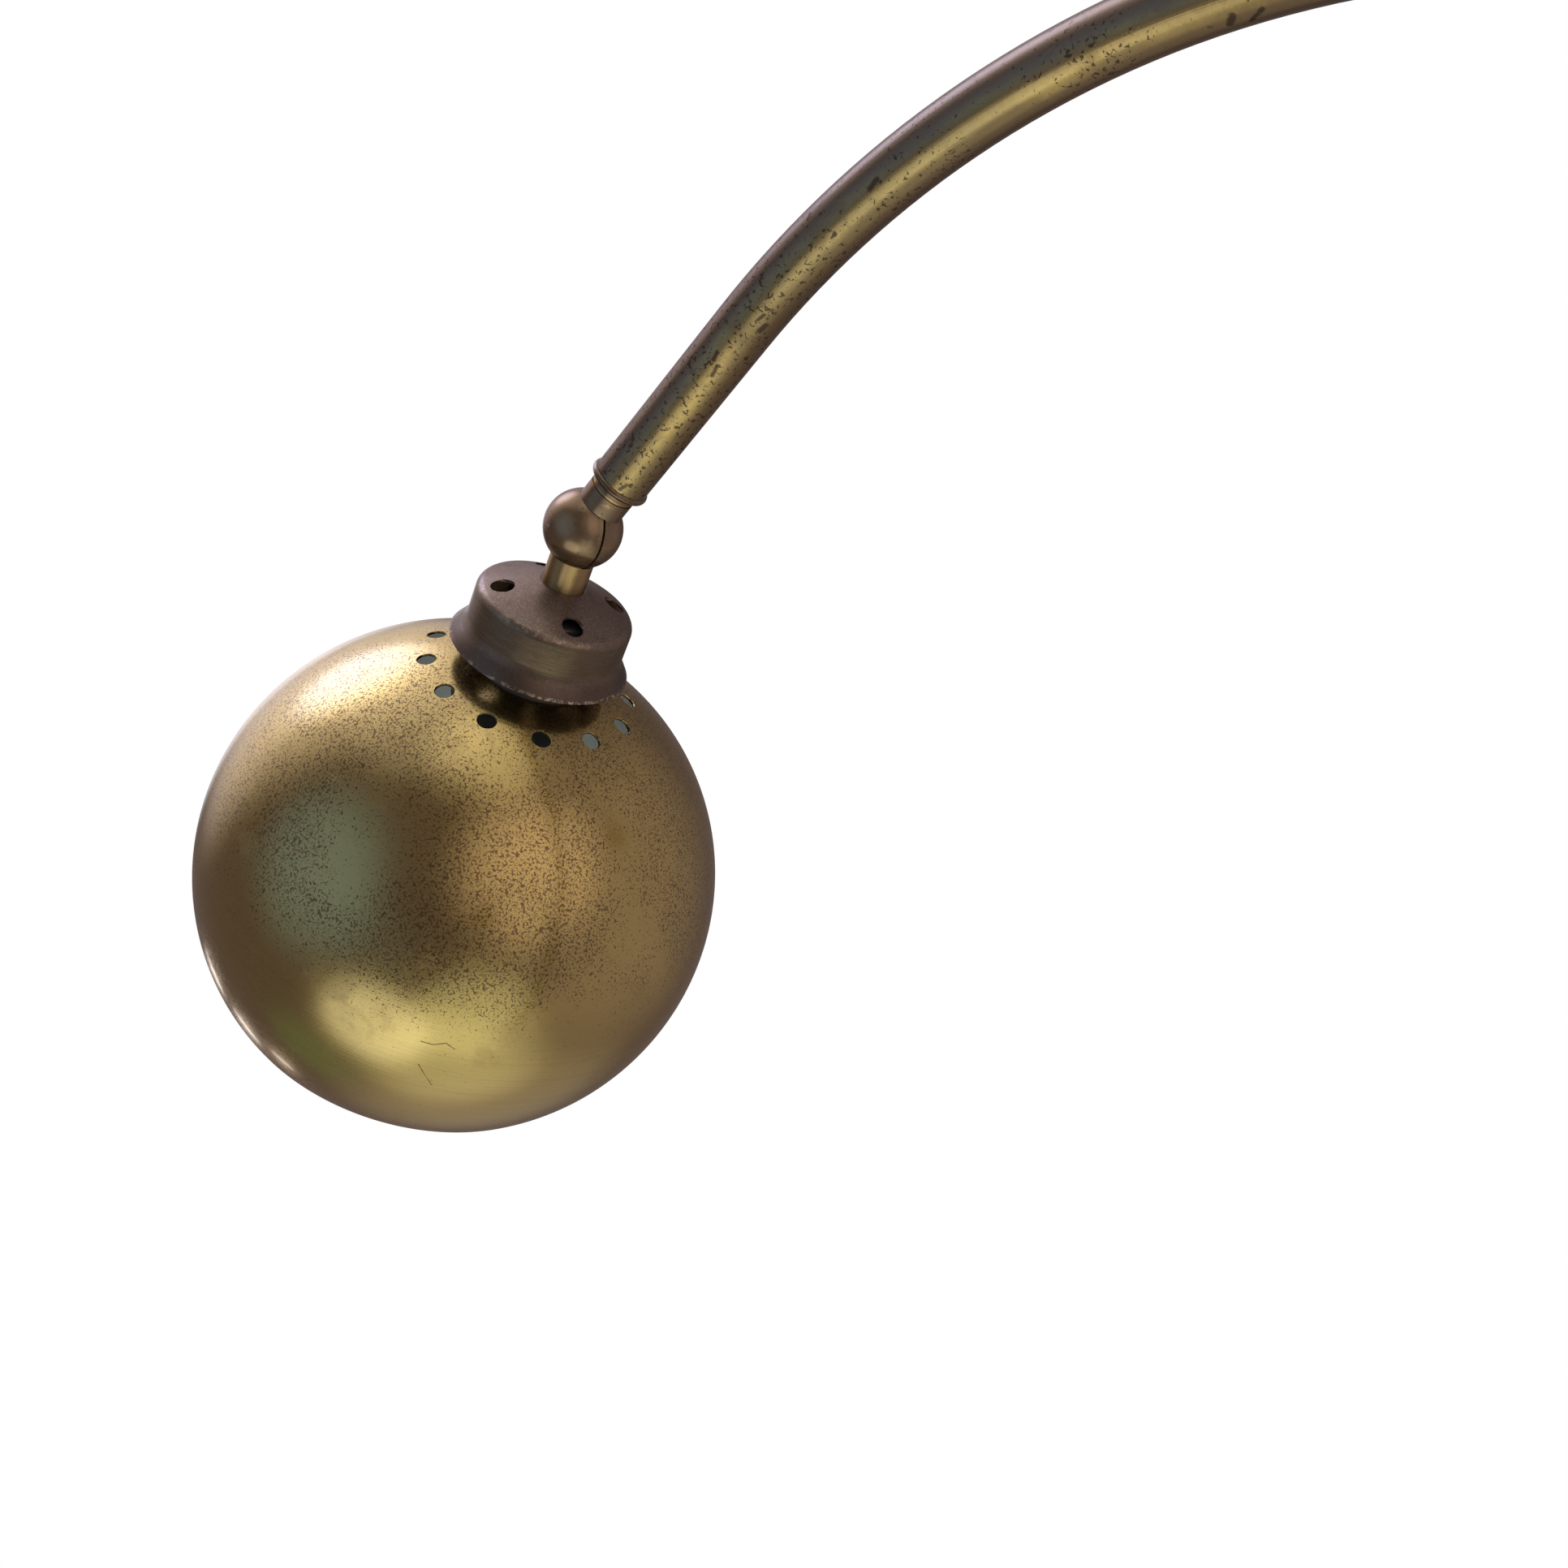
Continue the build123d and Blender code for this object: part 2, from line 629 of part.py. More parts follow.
def make_swivel(name, arm):
    """Two half-balls on one screw: the upper turns in the ferrule, the lower carries the head."""
    hinge = Axis(arm.ball, arm.hinge_axis)
    back = arm.hinge_axis * -1
    face = split_gap / 2
    groove_top = ferrule_start - face_gap - neck_groove_place
    clip_groove = stem_radius - clip_groove_depth
    upper_top = ferrule_start - face_gap

    with BuildPart() as swivel_neck:
        with BuildSketch(arm.neck_plane):
            Polygon(
                (0, 0),
                (upper_neck_radius, 0),
                (upper_neck_radius, groove_top - neck_groove_width),
                (upper_neck_radius - neck_groove_depth, groove_top - neck_groove_width),
                (upper_neck_radius - neck_groove_depth, groove_top),
                (upper_neck_radius, groove_top),
                (upper_neck_radius, upper_top),
                (stem_radius, upper_top),
                (stem_radius, clip_start),
                (clip_groove, clip_start),
                (clip_groove, clip_start + clip_thickness),
                (stem_radius, clip_start + clip_thickness),
                (stem_radius, stem_end),
                (0, stem_end),
                align=None,
            )
        revolve(axis=Axis(arm.ball, arm.tube_axis))
        revolve(half_ball(arm, back, ball_radius + ball_play, -face), axis=hinge, mode=Mode.SUBTRACT)
        revolve(half_ball(arm, arm.hinge_axis, ball_radius, face), axis=hinge)
        with BuildSketch(Plane(origin=arm.ball + arm.tube_axis * flex_bore_stop, z_dir=arm.tube_axis)):
            Circle(flex_bore_radius)
        extrude(amount=stem_end, mode=Mode.SUBTRACT)
        with BuildSketch(Plane(origin=arm.ball, z_dir=arm.hinge_axis)):
            Circle(pivot_radius + running_play)
        extrude(amount=ball_radius, mode=Mode.SUBTRACT)
        seat = arm.ball + arm.hinge_axis * pivot_head_place
        with BuildSketch(Plane(origin=seat, z_dir=arm.hinge_axis)):
            Circle(pivot_head_radius + face_gap)
        extrude(amount=ball_radius, mode=Mode.SUBTRACT)
    keep(swivel_neck, f"swivel_neck_{name}")

    with BuildPart() as neck_clip:
        clip_plane = Plane(
            origin=arm.ball + arm.tube_axis * clip_start,
            x_dir=arm.sideways,
            z_dir=arm.tube_axis,
        )
        with BuildSketch(clip_plane):
            Circle(clip_radius)
            Circle(clip_groove + fixed_play, mode=Mode.SUBTRACT)
            with Locations((clip_radius, 0)):
                Rectangle(2 * clip_radius, clip_mouth, mode=Mode.SUBTRACT)
        extrude(amount=clip_thickness - fixed_play)
    keep(neck_clip, f"neck_clip_{name}")

    neck_foot = ball_height - lower_neck_length
    with BuildPart() as swivel_half:
        with BuildSketch(arm.head_plane):
            Polygon(
                (0, ball_height),
                (lower_neck_radius, ball_height),
                (lower_neck_radius, neck_foot),
                (cap_stem_radius, neck_foot),
                (cap_stem_radius, neck_foot - cap_stem_length),
                (0, neck_foot - cap_stem_length),
                align=None,
            )
        revolve(axis=Axis(arm.ball, arm.head_axis))
        clear_of_upper = half_ball(arm, arm.hinge_axis, ball_radius + ball_play, -face)
        revolve(clear_of_upper, axis=hinge, mode=Mode.SUBTRACT)
        revolve(half_ball(arm, back, ball_radius, face), axis=hinge)
        with BuildSketch(Plane(origin=arm.ball - arm.hinge_axis * face, z_dir=arm.hinge_axis)):
            Circle(boss_radius)
        extrude(amount=split_gap - boss_gap)
        with BuildSketch(Plane(origin=arm.ball - arm.head_axis * flex_bore_stop, z_dir=-arm.head_axis)):
            Circle(flex_bore_radius)
        extrude(amount=ball_height, mode=Mode.SUBTRACT)
        with BuildSketch(Plane(origin=arm.ball, z_dir=arm.hinge_axis)):
            Circle(pivot_radius + fixed_play)
        extrude(amount=pivot_depth + face_gap, both=True, mode=Mode.SUBTRACT)
    keep(swivel_half, f"swivel_half_{name}")

    head_start = pivot_head_place + boss_gap
    head_seat = arm.ball + arm.hinge_axis * head_start
    slot_place = arm.ball + arm.hinge_axis * (head_start + pivot_head_height - pivot_slot_depth)
    with BuildPart() as pivot_screw:
        with BuildSketch(Plane(origin=arm.ball - arm.hinge_axis * pivot_depth, z_dir=arm.hinge_axis)):
            Circle(pivot_radius)
        extrude(amount=pivot_depth + head_start)
        with BuildSketch(Plane(origin=head_seat, z_dir=arm.hinge_axis)):
            Circle(pivot_head_radius)
        extrude(amount=pivot_head_height)
        with BuildSketch(Plane(origin=slot_place, x_dir=arm.head_axis, z_dir=arm.hinge_axis)):
            Rectangle(3 * pivot_head_radius, pivot_slot_width)
        extrude(amount=pivot_slot_depth, mode=Mode.SUBTRACT)
    keep(pivot_screw, f"pivot_screw_{name}")


def make_cap(name, arm):
    """Spun cap: flared rim, upright wall, low cone on top with four vent holes."""
    with BuildPart() as holder_cap:
        with BuildSketch(arm.head_plane):
            with BuildLine():
                outline = FilletPolyline(
                    (cap_stem_radius + fixed_play, cap_top),
                    (cap_flat_radius, cap_top),
                    (cap_wall_radius, shoulder_height),
                    (cap_wall_radius, wall_foot),
                    (cap_rim_radius, rim_height),
                    radius=cap_round,
                )
                offset(outline, amount=cap_sheet, side=Side.RIGHT)
            make_face()
        revolve(axis=Axis(arm.ball, arm.head_axis))
        with BuildSketch(arm.head_station(shoulder_height)):
            with PolarLocations(cap_vent_ring_radius, cap_vent_count, cap_vent_turn):
                Circle(cap_vent_radius)
        extrude(amount=cap_cone_height, both=True, mode=Mode.SUBTRACT)
    keep(holder_cap, f"holder_cap_{name}")


def make_holder(name, arm):
    """Moulded lamp holder on the neck's stem, its contacts, and the ring that clamps the globe."""
    body_top = holder_top - holder_collar_height
    flange_top = land_height + holder_flange_thickness
    head = Axis(arm.ball, arm.head_axis)
    with BuildPart() as lamp_holder:
        with BuildSketch(arm.head_plane):
            Polygon(
                (cap_stem_radius + fixed_play, holder_top),
                (collar_radius, holder_top),
                (collar_radius, body_top),
                (holder_radius, body_top),
                (holder_radius, flange_top),
                (holder_flange_radius, flange_top),
                (holder_flange_radius, land_height),
                (holder_radius, land_height),
                (holder_radius, holder_foot),
                (cavity_radius, holder_foot),
                (cavity_radius, cavity_top),
                (cap_stem_radius + fixed_play, cavity_top),
                align=None,
            )
        revolve(axis=head)
    keep(lamp_holder, f"lamp_holder_{name}")

    with BuildPart() as holder_contacts:
        with BuildSketch(arm.head_station(cavity_top - shell_length)):
            Circle(shell_outer)
            Circle(shell_inner, mode=Mode.SUBTRACT)
        extrude(amount=shell_length)
        with BuildSketch(arm.head_station(contact_foot)):
            Circle(contact_radius)
        extrude(amount=contact_height)
        with BuildSketch(arm.head_station(cavity_top - fixed_play)):
            Circle(cap_stem_radius + 2)
        extrude(amount=-contact_height / 3)
    keep(holder_contacts, f"holder_contacts_{name}")

    ring_top = land_height - globe_wall
    with BuildPart() as shade_ring:
        with BuildSketch(arm.head_plane):
            Polygon(
                (holder_radius + fixed_play, ring_top - ring_height),
                (ring_radius, ring_top - ring_height),
                (ring_radius, ring_top - ring_slope_height),
                (ring_face_radius, ring_top),
                (holder_radius + fixed_play, ring_top),
                align=None,
            )
        revolve(axis=head)
    keep(shade_ring, f"shade_ring_{name}")


def make_globe(name, arm):
    """Spun globe, flat where it is clamped, open below, with a ring of vent holes near the top."""
    inner = globe_radius - globe_wall
    land_foot = land_height - globe_wall
    inner_land = sqrt(inner**2 - land_foot**2)
    mouth = mouth_angle - 90
    start_outer = degrees(acos(land_radius / globe_radius))
    start_inner = degrees(acos(inner_land / inner))
    with BuildPart() as globe:
        with BuildSketch(arm.head_plane):
            with BuildLine():
                outside = CenterArc((0, 0), globe_radius, mouth, start_outer - mouth)
                inside = CenterArc((0, 0), inner, mouth, start_inner - mouth)
                Line(outside @ 0, inside @ 0)
                Polyline(
                    outside @ 1,
                    (shade_hole_radius, land_height),
                    (shade_hole_radius, land_foot),
                    inside @ 1,
                )
            make_face()
        revolve(axis=Axis(arm.ball, arm.head_axis))
        spread = sin(radians(vent_angle))
        vents = []
        for step in range(vent_count):
            round_axis = radians(vent_turn + 360 * step / vent_count)
            across = arm.hinge_axis * cos(round_axis) + arm.head_side * sin(round_axis)
            ray = arm.head_axis * cos(radians(vent_angle)) + across * spread
            vents.append(Plane(origin=arm.globe + ray * inner, z_dir=ray))
        with BuildSketch(*vents):
            Circle(vent_radius)
        extrude(amount=2 * globe_wall, both=True, mode=Mode.SUBTRACT)
    keep(globe, f"globe_{name}")


def bulb_profile(inset):
    """Outer line of the glass, or the same line moved in by the wall: neck, sweep, then ball."""
    neck = bulb_neck_radius - inset
    sweep_radius = bulb_neck_sweep + inset
    ball = bulb_radius - inset
    across = neck + sweep_radius
    rise = sqrt((ball + sweep_radius) ** 2 - across**2)
    meet = degrees(atan2(rise, across))
    neck_line = Line((neck, bulb_cap_foot), (neck, bulb_centre + rise))
    CenterArc((across, bulb_centre + rise), sweep_radius, 180, meet)
    CenterArc((0, bulb_centre), ball, meet, -90 - meet)
    return neck_line


def make_bulb(name, arm):
    """Screw-cap bulb: brass-coloured cap with its tip, and a hollow pear-shaped glass."""
    head = Axis(arm.ball, arm.head_axis)
    with BuildPart() as bulb_base:
        with BuildSketch(arm.head_plane):
            Polygon(
                (0, bulb_tip),
                (bulb_tip_radius, bulb_tip),
                (bulb_cap_radius, bulb_tip - bulb_cap_taper),
                (bulb_cap_radius, bulb_cap_foot),
                (0, bulb_cap_foot),
                align=None,
            )
        revolve(axis=head)
    keep(bulb_base, f"bulb_base_{name}")

    with BuildPart() as bulb_glass:
        with BuildSketch(arm.head_plane):
            with BuildLine():
                outside = bulb_profile(0)
                inside = bulb_profile(bulb_glass_wall)
                Line(outside @ 0, inside @ 0)
                Line(
                    (0, bulb_centre - bulb_radius),
                    (0, bulb_centre - bulb_radius + bulb_glass_wall),
                )
            make_face()
        revolve(axis=head)
    keep(bulb_glass, f"bulb_glass_{name}")


make_base()
make_clamping_stack()
make_supply()
make_column()
make_column_screws()
make_column_head()
make_guide()
for arm_name, (arm_azimuth, arm_rise) in arms.items():
    frame = ArmFrame(arm_azimuth, arm_rise)
    make_arm(arm_name, frame)
    make_ferrule(arm_name, frame)
    make_swivel(arm_name, frame)
    make_cap(arm_name, frame)
    make_holder(arm_name, frame)
    make_globe(arm_name, frame)
    make_bulb(arm_name, frame)
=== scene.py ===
import json
from math import asin, atan2, cos, degrees, pi, radians, sin, sqrt, tan, tau

import bmesh
import bpy
from mathutils import Matrix, Vector


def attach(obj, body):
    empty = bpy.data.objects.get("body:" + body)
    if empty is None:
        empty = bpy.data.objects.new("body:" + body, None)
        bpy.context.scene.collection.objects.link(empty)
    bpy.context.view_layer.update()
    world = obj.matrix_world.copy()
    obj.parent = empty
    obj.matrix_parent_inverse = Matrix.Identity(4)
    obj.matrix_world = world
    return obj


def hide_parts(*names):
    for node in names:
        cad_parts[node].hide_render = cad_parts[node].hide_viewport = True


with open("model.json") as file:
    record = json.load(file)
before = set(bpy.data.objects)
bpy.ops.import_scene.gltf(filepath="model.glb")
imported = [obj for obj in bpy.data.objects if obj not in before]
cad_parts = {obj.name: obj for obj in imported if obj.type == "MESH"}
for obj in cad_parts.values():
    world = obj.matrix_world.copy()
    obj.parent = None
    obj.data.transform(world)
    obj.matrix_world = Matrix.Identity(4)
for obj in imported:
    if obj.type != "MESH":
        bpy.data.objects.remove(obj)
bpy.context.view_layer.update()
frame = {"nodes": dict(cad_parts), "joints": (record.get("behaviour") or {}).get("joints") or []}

# Camera. It stands a little below the middle arm's swivel and about 0.7 m from it, so that the
# picture holds that arm's globe, its cap, its swivel and the end of its tube.
up = Vector((0, 0, 1))
joints = {joint["name"]: joint for joint in frame["joints"]}
middle_ball = Vector(joints["head_middle_tilt"]["pos_m"])
middle_foot = Vector(joints["arm_middle_turn"]["pos_m"])
middle_outward = Vector((middle_foot.x, middle_foot.y, 0)).normalized()
camera = bpy.data.objects.new("camera", bpy.data.cameras.new("camera"))
bpy.context.scene.collection.objects.link(camera)
camera.location = middle_ball + middle_outward * -0.4889 + up.cross(middle_outward) * 0.4823 - up * 0.0825
camera.rotation_euler = (radians(90 - 1.34), 0, radians(8.93))
camera.data.lens = 40.61
bpy.context.scene.camera = camera
bpy.context.scene.view_settings.view_transform = "Standard"


# Studio. Large soft cards stand around the lamp and show only in its polished metal; matt
# surfaces get a plain level light, and the camera sees white behind everything.
class Nodes:
    """A node tree under construction. A value given to an input may be another node's output."""

    def __init__(self, tree):
        self.tree = tree

    def add(self, kind, inputs=None, **settings):
        """Add a node of a kind, with its settings and the values of its inputs."""
        node = self.tree.nodes.new("ShaderNode" + kind)
        for setting, value in settings.items():
            setattr(node, setting, value)
        for socket, value in (inputs or {}).items():
            self.feed(node.inputs[socket], value)
        return node

    def feed(self, socket, value):
        """Set an input to a number or a colour, or join it to an output."""
        if isinstance(value, bpy.types.NodeSocket):
            self.tree.links.new(value, socket)
        elif socket.type == "RGBA" and len(value) == 3:
            socket.default_value = (*value, 1)
        else:
            socket.default_value = value

    def math(self, operation, first, second=0.0):
        """Result of a sum on two values."""
        return self.add("Math", {0: first, 1: second}, operation=operation).outputs[0]

    def band(self, value, low, high):
        """Smooth step from 0 at one value to 1 at another."""
        inputs = {"Value": value, "From Min": low, "From Max": high}
        return self.add("MapRange", inputs, interpolation_type="SMOOTHSTEP").outputs[0]

    def blend(self, share, first, second, way="MIX"):
        """Colour between two colours."""
        mixer = self.add("Mix", {0: share, 6: first, 7: second}, data_type="RGBA", blend_type=way)
        return mixer.outputs[2]


def heading(azimuth, elevation):
    """Direction from the lamp, by its angle round it and above the horizon."""
    level = cos(radians(elevation))
    return Vector((cos(radians(azimuth)) * level, sin(radians(azimuth)) * level, sin(radians(elevation))))


# Each card's name, azimuth, elevation, half-width at full light, half-width where it ends, and
# light. The flag takes light away.
studio_cards = [
    ("key_core", 150, 51, 3, 21, (1.4, 1.8, 3.6)),
    ("key", 156, 56, 5, 23, (2.0, 1.9, 1.8)),
    ("key_skirt", 144, 54, 10, 53, (1.0, 0.96, 1.0)),
    ("flag", 178, -12, 16, 56, (-0.14, -0.115, -0.12)),
    ("doorway", 122, 10, 3, 13, (1.0, 1.0, 1.1)),
    ("lintel", 152, 24, 6, 27, (0.5, 0.48, 0.55)),
    ("ceiling", -110, 74, 6, 36, (0.55, 0.55, 0.57)),
    ("transom", -52, 57, 8, 27, (0.8, 0.78, 0.62)),
    ("window", -42, 4, 8, 40, (0.72, 0.61, 0.49)),
    ("room", 0, -6, 22, 78, (0.27, 0.245, 0.235)),
    ("screen", -132, 4, 4, 39, (0.14, 0.31, 0.48)),
    ("screen_foot", -112, -24, 3, 24, (0.03, 0.07, 0.1)),
    ("table_left", -133, -56, 14, 22, (1.15, 1.25, 1.15)),
    ("table_right", -62, -60, 14, 27, (0.65, 0.72, 0.55)),
    ("floor", -95, -84, 12, 34, (0.5, 0.55, 0.42)),
    ("floor_far", 100, -64, 8, 36, (0.3, 0.3, 0.28)),
    ("leaf", 168, -46, 3, 16, (0.05, 0.14, 0.03)),
    ("sill_high", 134, -13, 1, 3, (3.5, 3.4, 3.6)),
    ("sill_middle", 134, -20, 1, 3, (3.5, 3.4, 3.6)),
    ("sill_low", 137, -29, 1, 2.6, (3, 2.9, 3)),
]
studio_dim = (0.165, 0.135, 0.135)
studio_level = (0.78, 0.78, 0.78)

world = bpy.data.worlds.new("studio")
bpy.context.scene.world = world
world.use_nodes = True
world.cycles.sampling_method = "NONE"
sky = Nodes(world.node_tree)
towards = sky.add("TexCoord").outputs["Generated"]
reflected = studio_dim
for name, azimuth, elevation, core, edge, light in studio_cards:
    facing = heading(azimuth, elevation)
    nearness = sky.add("VectorMath", {0: towards, 1: facing}, operation="DOT_PRODUCT").outputs["Value"]
    glow = sky.band(nearness, cos(radians(edge)), cos(radians(core)))
    reflected = sky.blend(glow, reflected, light, "ADD")
ray = sky.add("LightPath").outputs
mirrored = sky.math("MAXIMUM", ray["Is Glossy Ray"], ray["Is Transmission Ray"])
seen = sky.blend(mirrored, studio_level, reflected)
seen = sky.blend(ray["Is Camera Ray"], seen, (1, 1, 1))
sky.feed(world.node_tree.nodes["Background"].inputs["Color"], seen)

for name, azimuth, elevation, distance, size, power in (
    ("key_lamp", 138, 52, 3.2, 1.6, 38),
    ("fill_lamp", -60, 35, 3.6, 2.4, 22),
):
    lamp = bpy.data.objects.new(name, bpy.data.lights.new(name, "AREA"))
    bpy.context.scene.collection.objects.link(lamp)
    lamp.data.size = size
    lamp.data.energy = power
    lamp.location = up + heading(azimuth, elevation) * distance
    lamp.rotation_euler = heading(azimuth, elevation).to_track_quat("Z", "Y").to_euler()
    lamp.visible_glossy = False

floor_shape = bmesh.new()
bmesh.ops.create_grid(floor_shape, x_segments=1, y_segments=1, size=9)
floor_mesh = bpy.data.meshes.new("studio_floor")
floor_shape.to_mesh(floor_mesh)
floor_shape.free()
floor = bpy.data.objects.new("studio_floor", floor_mesh)
bpy.context.scene.collection.objects.link(floor)
floor.visible_glossy = False
floor_paint = bpy.data.materials.new("floor_white")
floor_paint.use_nodes = True
paint = Nodes(floor_paint.node_tree)
matt = floor_paint.node_tree.nodes["Principled BSDF"]
paint.feed(matt.inputs["Base Color"], (0.93, 0.93, 0.93))
paint.feed(matt.inputs["Roughness"], 0.8)
distance = paint.add("VectorMath", {0: paint.add("TexCoord").outputs["Object"]}, operation="LENGTH")
far_off = paint.band(distance.outputs["Value"], 1.2, 2.4)
bare = paint.math("MULTIPLY", far_off, paint.add("LightPath").outputs["Is Camera Ray"])
white = paint.add("Emission", {"Color": (1, 1, 1)}).outputs[0]
shown = paint.add("MixShader", {0: bare, 1: matt.outputs[0], 2: white}).outputs[0]
paint.feed(floor_paint.node_tree.nodes["Material Output"].inputs["Surface"], shown)
floor_mesh.materials.append(floor_paint)


# Marble base. A honed disc of white marble with grey veins, rounded over at the top, hollowed
# below for the clamping plate and drilled from the back for the cord.
mm = 0.001


def draw(shape, corners):
    """Draw a profile in the XZ plane through (radius, height, round) corners, in millimetres."""
    points = [shape.verts.new((across * mm, 0, height * mm)) for across, height, _ in corners]
    for start, end in zip(points, points[1:]):
        shape.edges.new((start, end))
    return points


def soften(shape, points, corners):
    """Round the drawn corners that have a radius."""
    for point, (_, _, rounding) in zip(points, corners):
        if rounding:
            sides = [edge.other_vert(point).co - point.co for edge in point.link_edges]
            setback = rounding * mm / tan(sides[0].angle(sides[1]) / 2)
            bmesh.ops.bevel(
                shape, geom=[point], offset=setback, offset_type="OFFSET", segments=5,
                profile=0.5, affect="VERTICES", material=-1,
            )


def turn(shape, sides):
    """Spin what is drawn about the Z axis, close its poles and point its faces outwards."""
    drawn = shape.verts[:] + shape.edges[:]
    bmesh.ops.spin(
        shape, geom=drawn, cent=(0, 0, 0), axis=(0, 0, 1), angle=tau, steps=sides, use_merge=True
    )
    bmesh.ops.remove_doubles(shape, verts=shape.verts, dist=1e-6)
    bmesh.ops.recalc_face_normals(shape, faces=shape.faces)
    return shape


def turned(corners, sides=96):
    """Solid turned about Z from a closed profile, or from one that starts and ends on the axis."""
    shape = bmesh.new()
    points = draw(shape, corners)
    if corners[0][0] > 0:
        shape.edges.new((points[-1], points[0]))
    soften(shape, points, corners)
    return turn(shape, sides)


def put(shape, place):
    """Move a shape by a matrix."""
    bmesh.ops.transform(shape, matrix=place, verts=shape.verts)
    return shape


def carved(body, tool):
    """What is left of a shape when a tool's shape is cut from it."""
    blanks = []
    for shape in (body, tool):
        blank = bpy.data.objects.new("blank", bpy.data.meshes.new("blank"))
        shape.to_mesh(blank.data)
        shape.free()
        bpy.context.scene.collection.objects.link(blank)
        blanks.append(blank)
    cut = blanks[0].modifiers.new("cut", "BOOLEAN")
    cut.object = blanks[1]
    cut.operation = "DIFFERENCE"
    cut.solver = "EXACT"
    result = bmesh.new()
    result.from_object(blanks[0], bpy.context.evaluated_depsgraph_get())
    for blank in blanks:
        bpy.data.meshes.remove(blank.data)
    return result


def rod(radius, low, high, sides=48):
    """Plain round bar along Z, in millimetres."""
    return turned([(0, low, 0), (radius, low, 0), (radius, high, 0), (0, high, 0)], sides)


def along(origin, axis, across):
    """Matrix that lays a shape's Z on an axis and its X across it, with its origin at a point."""
    place = Matrix((across, axis.cross(across), axis)).transposed().to_4x4()
    place.translation = origin
    return place


def finished(shape, name, body, material, replaced, place=Matrix()):
    """Make a shape a piece: remember where each point was on the lathe, place it and fit it."""
    lathe = shape.verts.layers.float_vector.new("lathe")
    for vert in shape.verts:
        vert[lathe] = vert.co
    put(shape, place)
    mesh = bpy.data.meshes.new(name)
    shape.to_mesh(mesh)
    shape.free()
    mesh.shade_smooth()
    mesh.set_sharp_from_angle(angle=radians(32))
    mesh.materials.append(material)
    piece = bpy.data.objects.new(name, mesh)
    bpy.context.scene.collection.objects.link(piece)
    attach(piece, body)
    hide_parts(*replaced)
    return piece


def new_material(name):
    """Material with its shader and its nodes."""
    material = bpy.data.materials.new(name)
    material.use_nodes = True
    return material, material.node_tree.nodes["Principled BSDF"], Nodes(material.node_tree)


def noise(nodes, place, scale, detail=2.0, roughness=0.5, distortion=0.0):
    """Cloudy pattern from 0 to 1, at a number of clouds to the metre."""
    inputs = {
        "Vector": place, "Scale": scale, "Detail": detail, "Roughness": roughness,
        "Distortion": distortion,
    }
    return nodes.add("TexNoise", inputs).outputs[0]


def bump(nodes, shader, height, distance, strength=1.0, below=None):
    """Relief of a surface: height in metres, laid on any relief below it."""
    inputs = {"Height": height, "Distance": distance, "Strength": strength}
    if below:
        inputs["Normal"] = below
    relief = nodes.add("Bump", inputs).outputs[0]
    nodes.feed(shader.inputs["Normal"], relief)
    return relief


def marble():
    """White marble: soft grey clouds, long grey veins that fork, and a few fine dark threads."""
    material, shader, nodes = new_material("honed_marble")
    place = nodes.add("TexCoord").outputs["Object"]
    drift = nodes.add("TexNoise", {"Vector": place, "Scale": 6, "Detail": 4}).outputs["Color"]
    pulled = nodes.add("VectorMath", {0: drift, 1: (0.22, 0.22, 0.22)}, operation="MULTIPLY").outputs[0]
    warped = nodes.add("VectorMath", {0: place, 1: pulled}, operation="ADD").outputs[0]
    drawn_out = {"Vector": warped, "Rotation": (0.3, 0.5, 0.6), "Scale": (1.7, 0.5, 1.2)}
    warped = nodes.add("Mapping", drawn_out).outputs[0]
    veins = nodes.math("ABSOLUTE", nodes.math("SUBTRACT", noise(nodes, warped, 8, 4, 0.5), 0.5))
    threads = nodes.math("ABSOLUTE", nodes.math("SUBTRACT", noise(nodes, warped, 15, 2, 0.5), 0.5))
    clouds = nodes.band(noise(nodes, place, 11, 5, 0.6), 0.38, 0.75)
    strength = nodes.band(noise(nodes, place, 5, 2), 0.35, 0.65)
    colour = nodes.blend(nodes.math("MULTIPLY", clouds, 0.35), (0.80, 0.79, 0.77), (0.60, 0.60, 0.61))
    vein = nodes.math("MULTIPLY", nodes.band(veins, 0.045, 0.0), nodes.math("MULTIPLY", strength, 0.75))
    colour = nodes.blend(vein, colour, (0.27, 0.28, 0.30))
    thread = nodes.math("MULTIPLY", nodes.band(threads, 0.010, 0.0), 0.25)
    colour = nodes.blend(thread, colour, (0.20, 0.20, 0.21))
    nodes.feed(shader.inputs["Base Color"], colour)
    nodes.feed(shader.inputs["Roughness"], nodes.math("ADD", 0.26, nodes.math("MULTIPLY", vein, 0.15)))
    bump(nodes, shader, noise(nodes, place, 900, 2), 0.00002)
    return material


marble_foot = 2
marble_top = 62
pocket_top = 36
pocket_radius = 55
tie_hole = 8.5
cord_hole = 6.43
gland_level = 11
base_radius = 170
disc = turned([
    (tie_hole, marble_top, 0.4), (base_radius, marble_top, 5), (base_radius, marble_foot, 1.5),
    (pocket_radius, marble_foot, 0.4), (pocket_radius, pocket_top, 1), (tie_hole, pocket_top, 0.4),
], 192)
backward = along(Vector((0, 0, gland_level * mm)), Vector((0, 1, 0)), Vector((1, 0, 0)))
disc = carved(disc, put(rod(cord_hole, 20, base_radius + 20), backward))
finished(disc, "marble_disc", "stand", marble(), ["base_marble"])


